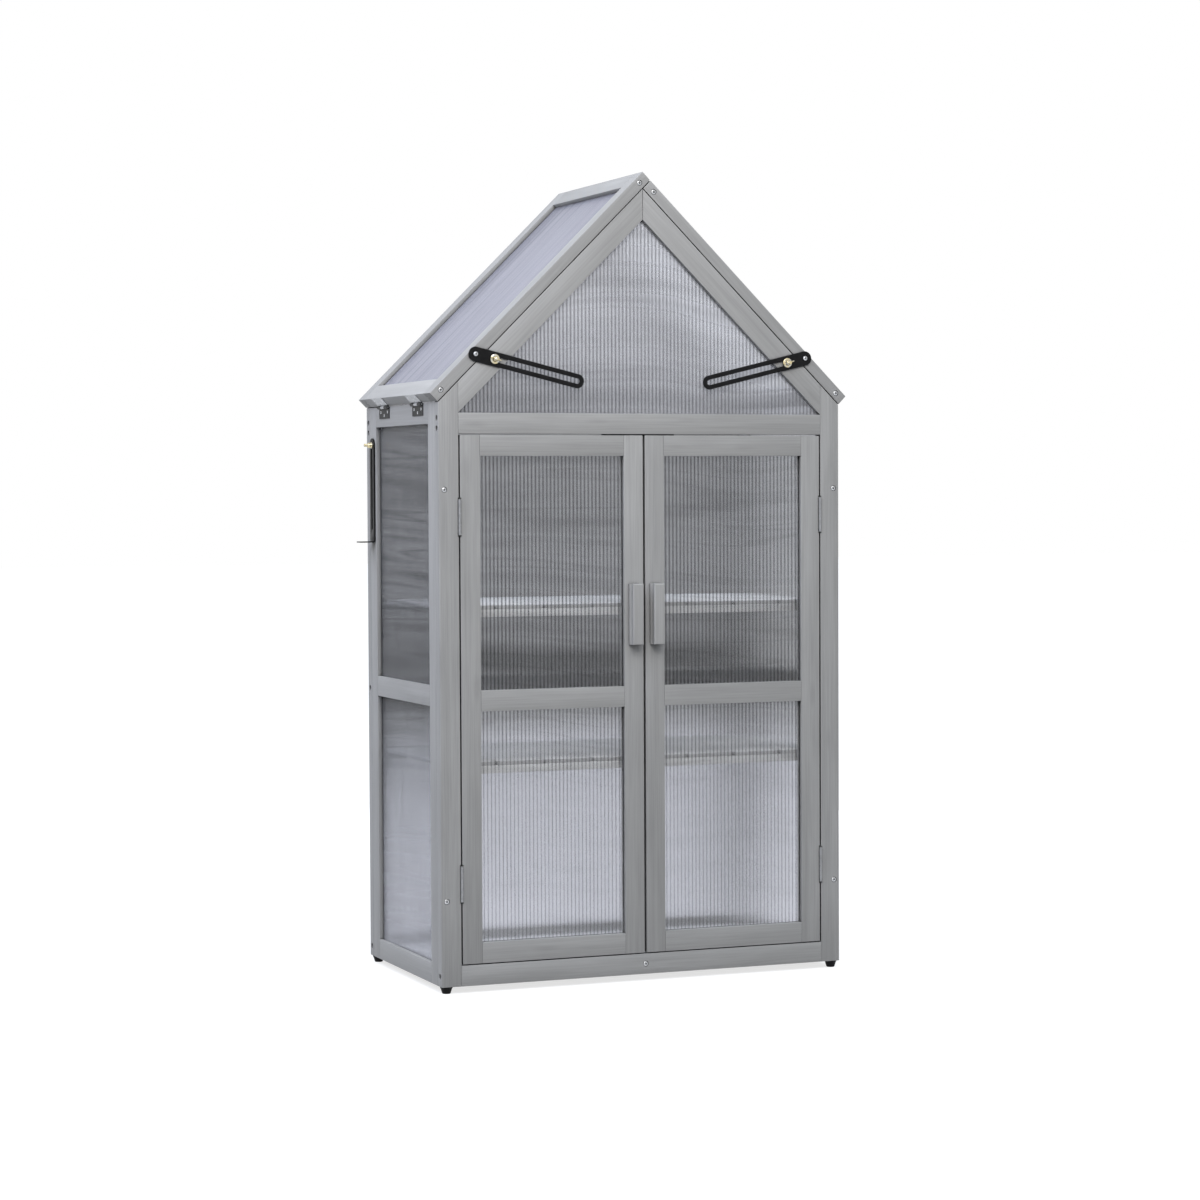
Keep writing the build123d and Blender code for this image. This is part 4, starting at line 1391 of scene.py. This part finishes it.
class GREENHOUSE_OT_stage(bpy.types.Operator):
    """Set up the floor, the light and the camera"""

    bl_idname = "greenhouse.stage"
    bl_label = "Stage"

    def execute(self, context):
        stage = context.scene.greenhouse_stage
        self.floor(stage)
        self.sky(context, stage)
        for name in ("key", "side", "back"):
            self.lamp(context, stage, name)
        self.camera(context, stage)
        context.scene.view_settings.view_transform = "Standard"
        context.scene.cycles.transparent_max_bounces = CLEAR_SURFACES
        return {"FINISHED"}

    def floor(self, stage):
        """A plain pale floor that keeps the object's shadow."""
        bm = bmesh.new()
        bmesh.ops.create_grid(
            bm, x_segments=FLOOR_SQUARES, y_segments=FLOOR_SQUARES, size=stage.floor_size / 2
        )
        mesh = plain_mesh(bm, "studio_floor")
        pale = new_finish("studio_floor")
        speck = pale.noise(pale.place(), detail=2.0, scale=3.0)
        tone = pale.ramp(speck, (0.3, shade(stage.floor_colour, 0.99)), (0.7, stage.floor_colour))
        thrown = pale.shader("BsdfDiffuse", {"Color": tone})
        shadow = pale.shader("BsdfDiffuse", {"Color": opaque(grey(FLOOR_SHADE))})
        glow = pale.shader("Emission", {"Color": WHITE, "Strength": FLOOR_GLOW})
        seen = pale.shader("AddShader", {0: shadow, 1: glow})
        mesh.materials.append(pale.end(pale.shared(seen_rays(pale), thrown, seen)))
        floor = bpy.data.objects.new("studio_floor", mesh)
        bpy.context.scene.collection.objects.link(floor)

    def sky(self, context, stage):
        """A white surround for the camera, and soft light from above for the object."""
        world = bpy.data.worlds.new("studio")
        context.scene.world = world
        sky = Finish(world)
        way = sky.add("TexCoord", {}).outputs["Generated"]
        height = sky.add("SeparateXYZ", {"Vector": way}).outputs["Z"]
        light = sky.ramp(height, (0.1, stage.edge_colour), (0.9, stage.sky_colour))
        strength = sky.span(height, 0.1, 0.9, 1.0, stage.sky_strength)
        soft = sky.shader("Background", {"Color": light, "Strength": strength})
        white = sky.shader("Background", {"Color": WHITE, "Strength": 1.0})
        sky.end(sky.shared(seen_rays(sky), soft, white), "OutputWorld")

    def lamp(self, context, stage, name):
        """A large soft lamp that faces the object."""
        light = bpy.data.lights.new(f"{name}_lamp", "AREA")
        light.energy = getattr(stage, f"{name}_power")
        light.color = getattr(stage, f"{name}_colour")
        light.shape = "DISK"
        light.size = getattr(stage, f"{name}_size")
        lamp = bpy.data.objects.new(f"{name}_lamp", light)
        lamp.visible_camera = False
        lamp.visible_transmission = False
        low, high = CAD_BOX
        place = Vector(getattr(stage, f"{name}_place"))
        lamp.matrix_world = facing(place, place - (low + high) / 2)
        context.scene.collection.objects.link(lamp)

    def camera(self, context, stage):
        """The camera, at the photograph's angle."""
        turn, dip, roll = stage.camera_turn, stage.camera_dip, stage.camera_roll
        ahead = Vector((sin(turn) * cos(dip), cos(turn) * cos(dip), -sin(dip)))
        level = Vector((cos(turn), -sin(turn), 0))
        upright = level.cross(ahead)
        right = level * cos(roll) + upright * sin(roll)
        up = upright * cos(roll) - level * sin(roll)
        lens = bpy.data.cameras.new("photo_camera")
        lens.lens = stage.lens
        lens.sensor_width = SENSOR_WIDTH
        lens.clip_end = FAR_CLIP
        camera = bpy.data.objects.new("photo_camera", lens)
        turned = Matrix((right, up, -ahead)).transposed().to_4x4()
        camera.matrix_world = Matrix.Translation(stage.camera_place) @ turned
        context.scene.collection.objects.link(camera)
        context.scene.camera = camera


# Panel and registration

SETTINGS = (
    ("greenhouse_timber", TimberSettings),
    ("greenhouse_sheets", SheetSettings),
    ("greenhouse_ironmongery", IronmongerySettings),
    ("greenhouse_stage", StageSettings),
)
OPERATORS = (
    GREENHOUSE_OT_frames,
    GREENHOUSE_OT_shelves,
    GREENHOUSE_OT_sheets,
    GREENHOUSE_OT_screws,
    GREENHOUSE_OT_hinges,
    GREENHOUSE_OT_stays,
    GREENHOUSE_OT_fittings,
    GREENHOUSE_OT_stage,
)


class GREENHOUSE_PT_panel(bpy.types.Panel):
    """Lists the greenhouse's pieces and settings"""

    bl_idname = "GREENHOUSE_PT_panel"
    bl_label = "Mini Greenhouse"
    bl_space_type = "VIEW_3D"
    bl_region_type = "UI"
    bl_category = "Greenhouse"

    def draw(self, context):
        layout = self.layout
        for operator in OPERATORS:
            layout.operator(operator.bl_idname)
        for name, kind in SETTINGS:
            box = layout.box()
            for prop in kind.__annotations__:
                box.prop(getattr(context.scene, name), prop)


def register():
    """Register the settings, the operators and the panel."""
    for name, kind in SETTINGS:
        bpy.utils.register_class(kind)
        setattr(bpy.types.Scene, name, PointerProperty(type=kind))
    for kind in (*OPERATORS, GREENHOUSE_PT_panel):
        bpy.utils.register_class(kind)


def unregister():
    """Take the panel, the operators and the settings away again."""
    for kind in (GREENHOUSE_PT_panel, *reversed(OPERATORS)):
        bpy.utils.unregister_class(kind)
    for name, kind in reversed(SETTINGS):
        delattr(bpy.types.Scene, name)
        bpy.utils.unregister_class(kind)


def main():
    """Dress the greenhouse piece by piece."""
    register()
    bpy.ops.greenhouse.frames()
    bpy.ops.greenhouse.shelves()
    bpy.ops.greenhouse.sheets()
    bpy.ops.greenhouse.screws()
    bpy.ops.greenhouse.hinges()
    bpy.ops.greenhouse.stays()
    bpy.ops.greenhouse.fittings()
    bpy.ops.greenhouse.stage()


if __name__ == "__main__":
    main()
